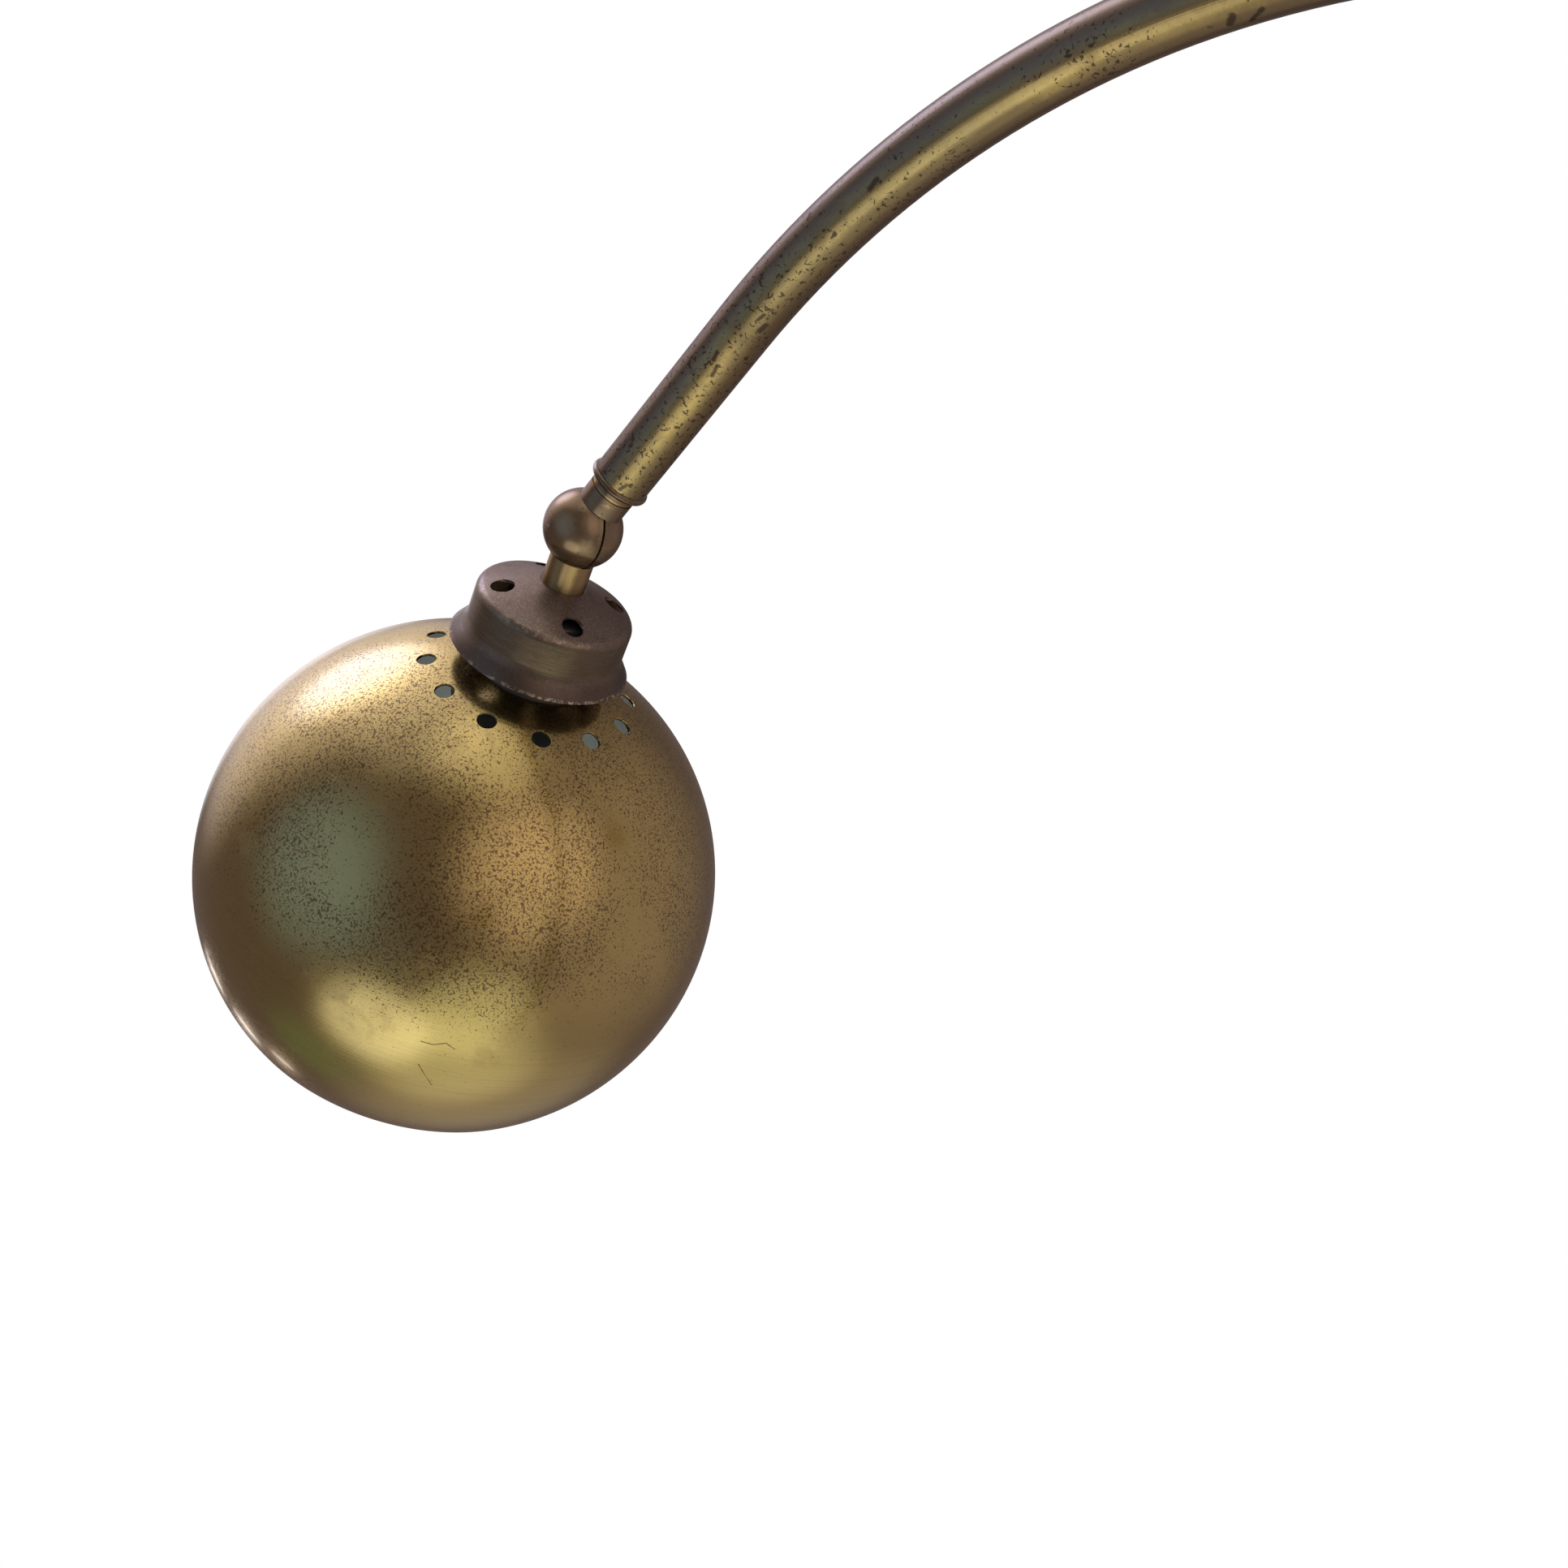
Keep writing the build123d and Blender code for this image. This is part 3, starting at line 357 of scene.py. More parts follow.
# Felt, clamping plate, nut and tie tube under and inside the base. The felt is punched from
# dense black wool; the plate, the nut and the tube are zinc-plated steel.
def felt():
    """Dense dark wool felt with a short nap."""
    material, shader, nodes = new_material("wool_felt")
    place = nodes.add("TexCoord").outputs["Object"]
    fibres = noise(nodes, place, 1600, 5, 0.7, 1.5)
    colour = nodes.blend(fibres, (0.02, 0.024, 0.022), (0.07, 0.08, 0.075))
    nodes.feed(shader.inputs["Base Color"], colour)
    nodes.feed(shader.inputs["Roughness"], 0.95)
    nodes.feed(shader.inputs["Sheen Weight"], 0.5)
    bump(nodes, shader, fibres, 0.0004)
    return material


def plated_steel(name, colour, roughness):
    """Plated metal with a faint spangle and handling marks."""
    material, shader, nodes = new_material(name)
    place = nodes.add("TexCoord").outputs["Object"]
    spangle = noise(nodes, place, 260, 4, 0.6)
    marks = nodes.band(noise(nodes, place, 70, 5, 0.65), 0.55, 0.75)
    darker = tuple(part * 0.7 for part in colour)
    tone = nodes.blend(spangle, darker, colour)
    nodes.feed(shader.inputs["Base Color"], nodes.blend(nodes.math("MULTIPLY", marks, 0.4), tone, darker))
    nodes.feed(shader.inputs["Metallic"], 1)
    dulled = nodes.math("MULTIPLY", marks, 0.15)
    nodes.feed(shader.inputs["Roughness"], nodes.math("ADD", roughness, dulled))
    bump(nodes, shader, spangle, 0.00003)
    return material


def dress(names, material):
    """Give the pieces that stay as they are their material."""
    for name in names:
        mesh = frame["nodes"][name].data
        mesh.materials.clear()
        mesh.materials.append(material)


arm_names = ("low", "middle", "high")
steel = plated_steel("zinc_plated_steel", (0.55, 0.55, 0.54), 0.34)
dress(["base_felt"], felt())
dress(["base_plate", "base_nut", "tie_tube"] + [f"neck_clip_{name}" for name in arm_names], steel)


# Cord gland at the back of the base and the leads inside the stand. The gland is moulded black;
# the leads have a soft dark sheath.
def moulded(name, colour, roughness, grain):
    """Moulded plastic or rubber with a fine grain and slightly uneven gloss."""
    material, shader, nodes = new_material(name)
    place = nodes.add("TexCoord").outputs["Object"]
    texture = noise(nodes, place, grain, 3, 0.6)
    cast = noise(nodes, place, 40, 3)
    lighter = tuple(min(1, part * 1.35 + 0.004) for part in colour)
    nodes.feed(shader.inputs["Base Color"], nodes.blend(cast, colour, lighter))
    dulled = nodes.math("MULTIPLY", texture, 0.12)
    nodes.feed(shader.inputs["Roughness"], nodes.math("ADD", roughness, dulled))
    bump(nodes, shader, texture, 0.00005)
    return material


gland = turned([
    (3.53, -22, 0.3), (6.4, -22, 0.6), (6.4, 0, 0), (9.0, 0, 0.4), (8.2, 3, 0.8), (3.53, 3, 0.8),
], 64)
gland_seat = along(
    Vector((0, base_radius * mm, gland_level * mm)), Vector((0, 1, 0)), Vector((1, 0, 0))
)
gland_black = moulded("gland_moulding", (0.035, 0.035, 0.036), 0.42, 900)
finished(gland, "gland", "stand", gland_black, ["cord_gland"], gland_seat)
sheath = moulded("lead_sheath", (0.03, 0.027, 0.025), 0.5, 700)
dress(["supply_lead"] + [f"arm_flex_{name}" for name in arm_names], sheath)
dress(["terminal_block"], moulded("block_ivory", (0.62, 0.60, 0.52), 0.45, 500))


# Column. A brass tube on a turned flange; the tube slips over the flange's boss, and screws
# through its wall hold the head and the arms' guide. Its brass has aged to a satin olive brown.
def aged_brass(name, bright, dull, brown, roughness, spots=0.5, coat=0.25, lines=0.0, grain=1.0):
    """Aged brass: cloudy patina, fine mottling, stains and small dark spots.

    Returns the material with its shader, nodes, colour, place and relief for more wear.
    """
    material, shader, nodes = new_material(name)
    place = nodes.add("TexCoord").outputs["Object"]
    lathe = nodes.add("Attribute", attribute_name="lathe").outputs["Vector"]
    clouds = nodes.band(noise(nodes, place, 14, 3, 0.5, 0.3), 0.40, 0.64)
    stains = nodes.band(noise(nodes, place, 48, 5, 0.62, 0.4), 0.54, 0.74)
    mottle = noise(nodes, place, 380, 5, 0.68)
    colour = nodes.blend(clouds, bright, dull)
    colour = nodes.blend(nodes.math("MULTIPLY", stains, 0.55), colour, brown)
    mottled = nodes.math("MULTIPLY", nodes.band(mottle, 0.40, 0.78), 0.5 * grain)
    colour = nodes.blend(mottled, colour, brown)
    dots = nodes.band(noise(nodes, place, 820, 2, 0.5), 0.70 - 0.06 * spots, 0.76 - 0.06 * spots)
    blots = nodes.band(noise(nodes, place, 210, 3, 0.6), 0.74 - 0.05 * spots, 0.78 - 0.05 * spots)
    marks = nodes.math("MAXIMUM", dots, blots)
    dark = tuple(part * 0.35 for part in brown)
    colour = nodes.blend(nodes.math("MULTIPLY", marks, 0.8), colour, dark)
    dulled = nodes.math("MULTIPLY", nodes.math("ADD", stains, marks), 0.14)
    uneven = nodes.math("MULTIPLY", nodes.math("SUBTRACT", mottle, 0.5), 0.16 * grain)
    nodes.feed(shader.inputs["Roughness"], nodes.math("ADD", nodes.math("ADD", roughness, dulled), uneven))
    nodes.feed(shader.inputs["Base Color"], colour)
    nodes.feed(shader.inputs["Metallic"], 1)
    nodes.feed(shader.inputs["Coat Weight"], coat)
    nodes.feed(shader.inputs["Coat Roughness"], 0.08)
    relief = bump(nodes, shader, noise(nodes, place, 30, 2), 0.0006 * grain, 0.5)
    relief = bump(nodes, shader, mottle, 0.00005 * grain, 1, relief)
    if lines:
        rings = nodes.add("Mapping", {"Vector": lathe, "Scale": (10, 10, 2600)}).outputs[0]
        relief = bump(nodes, shader, noise(nodes, rings, 1, 3, 0.6), 0.00004 * lines, 1, relief)
    return material, shader, nodes, colour, lathe, relief


brass_bright = (0.44, 0.30, 0.11)
brass_dull = (0.33, 0.27, 0.105)
brass_brown = (0.17, 0.10, 0.045)
column_brass = aged_brass("column_brass", brass_bright, brass_dull, brass_brown, 0.30, spots=0.3)[0]
turned_brass = aged_brass(
    "turned_brass", brass_bright, brass_dull, brass_brown, 0.26, spots=0.2, lines=1
)[0]
inner_brass = aged_brass(
    "inner_brass", (0.60, 0.43, 0.17), (0.50, 0.38, 0.16), brass_brown, 0.34, spots=0.1
)[0]

column_radius = 32
column_bore = 30.5
column_foot = 67
column_top = 1040
boss_radius = 30.47
boss_top = 91
flange_radius = 48
tie_bore = 8.03
flange = turned([
    (tie_bore, marble_top, 0), (flange_radius, marble_top, 0.4), (flange_radius, column_foot, 2),
    (boss_radius, column_foot, 0), (boss_radius, boss_top, 1), (tie_bore, boss_top, 0.5),
], 128)
finished(flange, "flange", "stand", turned_brass, ["column_flange"])
pipe = turned([
    (column_bore, column_foot, 0), (column_radius, column_foot, 0.3), (column_radius, column_top, 0.3),
    (column_bore, column_top, 0),
], 96)
finished(pipe, "column_pipe", "stand", column_brass, ["column_tube"])
dress(["arm_guide"], inner_brass)
dress([f"arm_foot_{name}" for name in arm_names], inner_brass)
dress([f"holder_contacts_{name}" for name in arm_names], inner_brass)


# Column head. A turned brass block with a post hole for each arm; a flanged bush stands in each
# hole, and a fluted thumb screw bears on each arm from the side.
head_top = 1076
head_foot = 1010
head_radius = 34
post_ring = 16.5
post_depth = 22
post_bore = 11.25
seat_radius = 12.53
bush_radius = 12.5
bush_bore = 11.05
bush_rim = 13.6
thumb_hole = 2.53
thumb_level = 1064
arm_azimuths = [
    degrees(atan2(joints[f"arm_{name}_turn"]["pos_m"][1], joints[f"arm_{name}_turn"]["pos_m"][0]))
    for name in arm_names
]
posts = [Matrix.Translation(heading(azimuth, 0) * post_ring * mm) for azimuth in arm_azimuths]


def gathered(shapes):
    """One shape of several separate ones."""
    whole = bmesh.new()
    for shape in shapes:
        step = bpy.data.meshes.new("step")
        shape.to_mesh(step)
        shape.free()
        whole.from_mesh(step)
        bpy.data.meshes.remove(step)
    return whole


def radial(azimuth, level):
    """Matrix that lays a shape's Z outwards from the column's axis at a height."""
    return along(up * level * mm, heading(azimuth, 0), up)


block = turned([
    (0, head_foot, 0), (boss_radius, head_foot, 1), (boss_radius, column_top, 0),
    (head_radius, column_top, 0.4), (head_radius, head_top, 3), (0, head_top, 0),
], 128)
step_level = head_top - post_depth
post_drill = [
    (0, head_foot - 10, 0), (post_bore, head_foot - 10, 0), (post_bore, step_level, 0),
    (seat_radius, step_level, 0), (seat_radius, head_top + 5, 0), (0, head_top + 5, 0),
]
block = carved(block, gathered([put(turned(post_drill, 64), post) for post in posts]))
screw_holes = [
    put(rod(thumb_hole, post_ring, 40, 24), radial(azimuth, thumb_level)) for azimuth in arm_azimuths
]
block = carved(block, gathered(screw_holes))
finished(block, "head_block", "stand", turned_brass, ["column_head"])

bush_corners = [
    (bush_bore, step_level, 0.2), (bush_radius, step_level, 0.2), (bush_radius, head_top, 0),
    (bush_rim, head_top, 0.2), (bush_rim, head_top + 2, 0.7), (bush_bore, head_top + 2, 0.3),
]
bushes = gathered([put(turned(bush_corners, 64), post) for post in posts])
finished(bushes, "post_bushes", "stand", turned_brass, ["arm_bushes"])


def thumb_screw():
    """Screw with a fluted knob, turned about Z from the column's axis outwards."""
    knob = turned([
        (0, 35.5, 0), (5.6, 35.5, 0), (7, 36.7, 0.6), (7, 44.5, 0.9), (5.2, 45.5, 0.3), (4.4, 44.9, 0.3),
        (0, 44.9, 0),
    ], 96)
    flutes = [
        put(rod(0.9, 34, 48, 16), Matrix.Translation(heading(30 * count, 0) * 7.3 * mm))
        for count in range(12)
    ]
    return gathered([carved(knob, gathered(flutes)), rod(2.5, 27.8, 35.5, 24)])


thumbs = gathered([put(thumb_screw(), radial(azimuth, thumb_level)) for azimuth in arm_azimuths])
finished(thumbs, "thumb_screws_fluted", "stand", turned_brass, ["thumb_screws"])


def wall_screw():
    """Domed slotted screw through the column's wall, turned about Z outwards."""
    shank, across, rise = 2, 3.6, 1.6
    shape = bmesh.new()
    points = draw(shape, [
        (0, 23, 0), (shank, 23, 0.2), (shank, column_radius, 0), (across, column_radius, 0),
    ])
    dome = (across**2 + rise**2) / (2 * rise)
    span = asin(across / dome)
    centre = (0, 0, (column_radius + rise - dome) * mm)
    bmesh.ops.spin(shape, geom=[points[-1]], cent=centre, axis=(0, 1, 0), angle=-span, steps=6)
    screw = turn(shape, 32)
    slot = bmesh.new()
    bmesh.ops.create_cube(slot, size=mm)
    put(slot, Matrix.Translation((0, 0, 34.0 * mm)) @ Matrix.Diagonal((0.8, 9, 2, 1)))
    return carved(screw, slot)


head_screw_level = column_top - 14
guide_screw_level = 789
screws = gathered([
    put(wall_screw(), radial(azimuth + 60, level))
    for level in (head_screw_level, guide_screw_level)
    for azimuth in arm_azimuths
])
finished(screws, "wall_screws", "stand", turned_brass, ["column_screws"])


# Arms. Each is a 22 mm brass tube that stands in the column, goes over in one wide bend and
# slopes down to its ferrule. Its brass has aged in patches, with brown spots.
arm_blots = [
    {"start": (9.7, 5.0, 1944), "end": (10.6, 2.6, 1946), "width": 1.7},
    {"start": (9.9, 4.4, 1935), "end": (10.7, 1.2, 1940), "width": 1.2},
    {"start": (3.6, 10.1, 2071), "end": (4.4, 9.7, 2075), "width": 1.3},
    {"start": (10.0, 4.3, 2137), "end": (9.8, 4.8, 2140), "width": 1.5},
    {"start": (8.4, 6.8, 2134), "end": (8.0, 7.2, 2137), "width": 0.9},
    {"start": (4.9, 9.5, 2156), "end": (5.6, 9.1, 2159), "width": 1.2},
    {"start": (7.4, 7.7, 2160), "end": (7.9, 7.2, 2164), "width": 1.2},
    {"start": (8.3, 6.7, 2219), "end": (7.7, 7.4, 2222), "width": 1.1},
]


def stroke(nodes, place, start, end, width, wobble):
    """Share of a mark drawn on a surface from one point to another, in millimetres."""
    line = (Vector(end) - Vector(start)) * mm
    reached = nodes.add("VectorMath", {0: place, 1: Vector(start) * mm}, operation="SUBTRACT").outputs[0]
    share = line / max(line.length_squared, 1e-9)
    run = nodes.add("VectorMath", {0: reached, 1: share}, operation="DOT_PRODUCT").outputs["Value"]
    run = nodes.math("MINIMUM", nodes.math("MAXIMUM", run, 0), 1)
    foot = nodes.add("VectorMath", {0: line, "Scale": run}, operation="SCALE").outputs[0]
    gap = nodes.add("VectorMath", {0: reached, 1: foot}, operation="DISTANCE").outputs["Value"]
    return nodes.band(nodes.math("ADD", gap, wobble), width * mm, 0.4 * width * mm)


def shaky(nodes, place, amount):
    """Small uneven push, in millimetres, that roughens the edge of a mark."""
    uneven = nodes.math("SUBTRACT", noise(nodes, place, 700, 3, 0.6), 0.5)
    return nodes.math("MULTIPLY", uneven, 2 * amount * mm)


def arm_brass():
    """Tube brass, spotted and blotted: dark along the outside of the bend, partly tarnish and partly
    painted shade, brown at its inner edge as painted shade, with a painted golden reflection streak left
    between them.
    """
    material, shader, nodes, colour, lathe, relief = aged_brass(
        "arm_brass", (0.38, 0.265, 0.11), (0.29, 0.21, 0.095), (0.20, 0.13, 0.065),
        roughness=0.26, coat=0.1, grain=0.6,
    )
    place = nodes.add("TexCoord").outputs["Object"]
    parts = nodes.add("SeparateXYZ", {0: lathe}).outputs
    drift = nodes.math("MULTIPLY", nodes.math("SUBTRACT", noise(nodes, place, 30, 4, 0.6), 0.5), 0.006)
    inwards = nodes.math("ADD", parts["X"], drift)
    # Painted shade and reflection: the dark outside of the bend (partly real tarnish) and the brown inner
    # edge leave a painted golden reflection streak between them.
    tarnish_and_painted_shade = nodes.math("MULTIPLY", nodes.band(inwards, 0.0068, 0.0005), 0.9)
    colour = nodes.blend(tarnish_and_painted_shade, colour, (0.125, 0.092, 0.076))
    browned_and_painted_shade = nodes.math("MULTIPLY", nodes.band(inwards, 0.0078, 0.0102), 0.7)
    colour = nodes.blend(browned_and_painted_shade, colour, (0.17, 0.115, 0.07))
    patches = nodes.band(noise(nodes, place, 16, 2), 0.5, 0.7)
    crowd = nodes.math("MAXIMUM", nodes.band(parts["Z"], 2.04, 2.12), patches)
    limit = nodes.math("SUBTRACT", 0.70, nodes.math("MULTIPLY", crowd, 0.12))
    spots = nodes.band(nodes.math("SUBTRACT", noise(nodes, place, 620, 3, 0.55, 0.5), limit), 0, 0.04)
    push = shaky(nodes, place, 0.6)
    for blot in arm_blots:
        mark = stroke(nodes, lathe, blot["start"], blot["end"], blot["width"], push)
        spots = nodes.math("MAXIMUM", spots, mark)
    colour = nodes.blend(nodes.math("MULTIPLY", spots, 0.88), colour, (0.05, 0.03, 0.02))
    nodes.feed(shader.inputs["Base Color"], colour)
    worn = nodes.math("MAXIMUM", tarnish_and_painted_shade, spots)
    nodes.feed(shader.inputs["Metallic"], nodes.math("SUBTRACT", 1, nodes.math("MULTIPLY", worn, 0.2)))
    nodes.feed(shader.inputs["Specular Tint"], nodes.blend(worn, (1, 1, 1), (0.4, 0.36, 0.38)))
    drawn = nodes.add("Mapping", {"Vector": lathe, "Scale": (2200, 2200, 14)}).outputs[0]
    bump(nodes, shader, noise(nodes, drawn, 1, 2, 0.5), 0.00003, 1, relief)
    return material


tube_radius = 11
bend_radius = 318
end_slope = 38.69
end_straight = 104.2
tube_foot = 791.2
tube_end = 27
tube_wall = 1
bend_sweep = radians(90 + end_slope)


def unbent(point, bend_level):
    """Where a point of the tube, in its own plane, was before the tube was bent."""
    centre = Vector((bend_radius * mm, 0, bend_level * mm))
    arm = point - centre
    passed = atan2(arm.z, -arm.x)
    if point.z <= centre.z and point.x < centre.x:
        return point.copy()
    if 0 <= passed <= bend_sweep:
        radius = Vector((arm.x, 0, arm.z)).length
        return Vector((bend_radius * mm - radius, point.y, centre.z + passed * bend_radius * mm))
    tangent = Vector((sin(bend_sweep), 0, cos(bend_sweep)))
    outwards = Vector((-cos(bend_sweep), 0, sin(bend_sweep)))
    climb = centre.z + bend_sweep * bend_radius * mm + arm.dot(tangent)
    return Vector((bend_radius * mm - arm.dot(outwards), point.y, climb))


def arm_tube(bend_level):
    """Bent tube in its own XZ plane: a ring drawn up, swept round the bend and drawn on."""
    shape = bmesh.new()
    ring = bmesh.ops.create_circle(shape, segments=64, radius=tube_radius * mm)["verts"]
    bmesh.ops.translate(shape, verts=ring, vec=(0, 0, tube_foot * mm))
    rising = bmesh.ops.extrude_edge_only(shape, edges=shape.edges[:])["geom"]
    ring = [item for item in rising if isinstance(item, bmesh.types.BMVert)]
    rim = [item for item in rising if isinstance(item, bmesh.types.BMEdge)]
    bmesh.ops.translate(shape, verts=ring, vec=(0, 0, (bend_level - tube_foot) * mm))
    swept = bmesh.ops.spin(
        shape, geom=ring + rim, cent=(bend_radius * mm, 0, bend_level * mm), axis=(0, 1, 0),
        angle=bend_sweep, steps=96,
    )["geom_last"]
    rim = [item for item in swept if isinstance(item, bmesh.types.BMEdge)]
    sloping = bmesh.ops.extrude_edge_only(shape, edges=rim)["geom"]
    ring = [item for item in sloping if isinstance(item, bmesh.types.BMVert)]
    run = (end_straight - tube_end) * mm
    down = Vector((cos(radians(end_slope)), 0, -sin(radians(end_slope))))
    bmesh.ops.translate(shape, verts=ring, vec=down * run)
    bmesh.ops.remove_doubles(shape, verts=shape.verts, dist=1e-6)
    bmesh.ops.recalc_face_normals(shape, faces=shape.faces)
    bmesh.ops.solidify(shape, geom=shape.faces[:], thickness=tube_wall * mm)
    return shape


head_lean = radians(36.28)
ball_height = 172.5057


class Arm:
    """Where an arm stands, and the axes of the pieces at its end."""

    def __init__(self, name):
        self.name = name
        foot = Vector(joints[f"arm_{name}_turn"]["pos_m"])
        self.foot = Vector((foot.x, foot.y, 0))
        self.outward = self.foot.normalized()
        self.sideways = up.cross(self.outward)
        self.ball = Vector(joints[f"head_{name}_tilt"]["pos_m"])
        self.tube_axis = Vector(joints[f"neck_{name}_swivel"]["axis"])
        self.hinge = Vector(joints[f"head_{name}_tilt"]["axis"])
        self.head_axis = up * cos(head_lean) + self.hinge.cross(up) * sin(head_lean)
        self.globe = self.ball - self.head_axis * ball_height * mm
        self.neck_place = along(self.ball, self.tube_axis, self.sideways)
        self.head_place = along(self.globe, self.head_axis, self.hinge)
        self.upright = along(self.foot, up, self.outward)
        drop = bend_radius * (1 - cos(radians(end_slope))) + end_straight * sin(radians(end_slope))
        self.bend_level = self.ball.z / mm + drop - bend_radius


arms = [Arm(name) for name in arm_names]
tube_brass = arm_brass()
for arm in arms:
    tube = finished(
        arm_tube(arm.bend_level), f"tube_{arm.name}", f"arm_{arm.name}", tube_brass,
        [f"arm_tube_{arm.name}"], arm.upright,
    )
    straight = tube.data.attributes["lathe"].data
    for place in straight:
        place.vector = unbent(place.vector, arm.bend_level)


# Ferrule and swivel. A beaded ring plugs the end of the tube; the upper half of a split ball
# turns in it, and the lower half tilts on a slotted screw and carries the head.
ball_radius = 15.5
groove_level = 21
neck_bore = 6.05
bead_radius = 12
bead_foot = 24
plug_radius = 9.97
plug_top = 47
ferrule_corners = [
    (neck_bore, bead_foot, 0), (bead_radius, bead_foot, 1.45), (bead_radius, tube_end, 1.45),
    (plug_radius, tube_end, 0), (plug_radius, plug_top, 0.5), (neck_bore, plug_top, 0.3),
]


def swivel_brass(arm, half):
    """Darkened brass: a dull brown ball, and a neck that is rubbed golden in patches, with a painted
    highlight along the upper neck's groove.
    """
    material, shader, nodes, colour, lathe, relief = aged_brass(
        f"{half}_brass_{arm.name}", (0.22, 0.145, 0.085), (0.145, 0.098, 0.07), (0.09, 0.058, 0.042),
        roughness=0.24, spots=0.4, coat=0.15, grain=0.3,
    )
    place = nodes.add("TexCoord").outputs["Object"]
    from_ball = nodes.add("VectorMath", {0: place, 1: arm.ball}, operation="SUBTRACT").outputs[0]
    reach = nodes.add("VectorMath", {0: from_ball}, operation="LENGTH").outputs["Value"]
    neck = nodes.band(reach, (ball_radius + 0.1) * mm, (ball_radius + 0.4) * mm)
    axis = arm.head_axis if half == "lower" else arm.tube_axis
    level = nodes.add("VectorMath", {0: from_ball, 1: axis}, operation="DOT_PRODUCT").outputs["Value"]
    if half == "upper":
        patches = nodes.math("MULTIPLY", nodes.band(noise(nodes, place, 150, 4, 0.6), 0.55, 0.63), 0.55)
        # Painted highlight: a gold band at the groove's level stands in for the light caught on its edge.
        off_groove = nodes.math("ABSOLUTE", nodes.math("SUBTRACT", level, groove_level * mm))
        groove_highlight = nodes.band(off_groove, 0.0008, 0.0003)
        gold = nodes.math("MULTIPLY", neck, nodes.math("MAXIMUM", patches, groove_highlight))
    else:
        gold = nodes.math("MULTIPLY", neck, 0.8)
    rubbed = nodes.band(noise(nodes, place, 95, 4, 0.65), 0.56, 0.70)
    gold = nodes.math("MAXIMUM", gold, nodes.math("MULTIPLY", rubbed, 0.5))
    colour = nodes.blend(gold, colour, (0.37, 0.245, 0.11))
    hatched = nodes.add("VectorMath", {0: from_ball, 1: (60, 60, 2600)}, operation="MULTIPLY").outputs[0]
    scuffs = nodes.math("MULTIPLY", nodes.band(noise(nodes, hatched, 1, 3, 0.6), 0.60, 0.70), rubbed)
    colour = nodes.blend(nodes.math("MULTIPLY", scuffs, 0.6), colour, (0.62, 0.46, 0.24))
    nodes.feed(shader.inputs["Base Color"], colour)
    dulled = nodes.math("MULTIPLY", nodes.math("SUBTRACT", 1, gold), 0.15)
    nodes.feed(shader.inputs["Metallic"], nodes.math("SUBTRACT", 1, dulled))
    nodes.feed(shader.inputs["Specular Tint"], (0.6, 0.55, 0.55))
    return material


ferrule_brass = aged_brass(
    "ferrule_brass", (0.20, 0.135, 0.075), (0.13, 0.09, 0.06), (0.085, 0.055, 0.038), 0.28
)[0]
for arm in arms:
    dress([f"swivel_neck_{arm.name}"], swivel_brass(arm, "upper"))
    dress([f"swivel_half_{arm.name}"], swivel_brass(arm, "lower"))
    ferrule = turned(ferrule_corners, 64)
    finished(
        ferrule, f"ferrule_{arm.name}", f"arm_{arm.name}", ferrule_brass,
        [f"arm_ferrule_{arm.name}"], arm.neck_place,
    )
dress([f"pivot_screw_{name}" for name in arm_names], turned_brass)


# Cap over the lamp holder. Spun from bronze sheet: a flared rim, an upright wall, a low cone and
# four vents. The patina is purplish brown, rubbed pale along the shoulder and the rim.
globe_radius = 110
land_radius = 25.5
land_height = sqrt(globe_radius**2 - land_radius**2)
rim_height = land_height + 8.3
wall_foot = rim_height + 7
shoulder = wall_foot + 16.4
cap_top = shoulder + 8.6
cap_wall = 31.95
cap_rim = 36.9
cap_sheet = 1
cap_vent_radius = 4.3
cap_vent_ring = 23.6
stem_bore = 5.03


def spun(corners, sides, sheet):
    """Thin shell turned from an open profile of its outside, with softened edges."""
    shape = bmesh.new()
    points = draw(shape, corners)
    soften(shape, points, corners)
    turn(shape, sides)
    return thickened(shape, sheet)


def thickened(shape, sheet):
    """Give a surface its wall on the inside and soften the wall's edges."""
    bmesh.ops.solidify(shape, geom=shape.faces[:], thickness=sheet * mm)
    edges = [edge for edge in shape.edges if edge.calc_face_angle(0) > radians(60)]
    bmesh.ops.bevel(
        shape, geom=edges, offset=0.3 * mm, offset_type="OFFSET", segments=2, profile=0.5,
        affect="EDGES", material=-1,
    )
    return shape


def vent_drill(radius, low, high):
    """Drill for a vent: it leaves a hole whose outer edge, at height 0, is rounded."""
    return turned([
        (0, low, 0), (radius, low, 0), (radius, -0.35, 0.5), (radius + 0.35, 0.05, 0),
        (radius + 0.35, high, 0), (0, high, 0),
    ], 48)


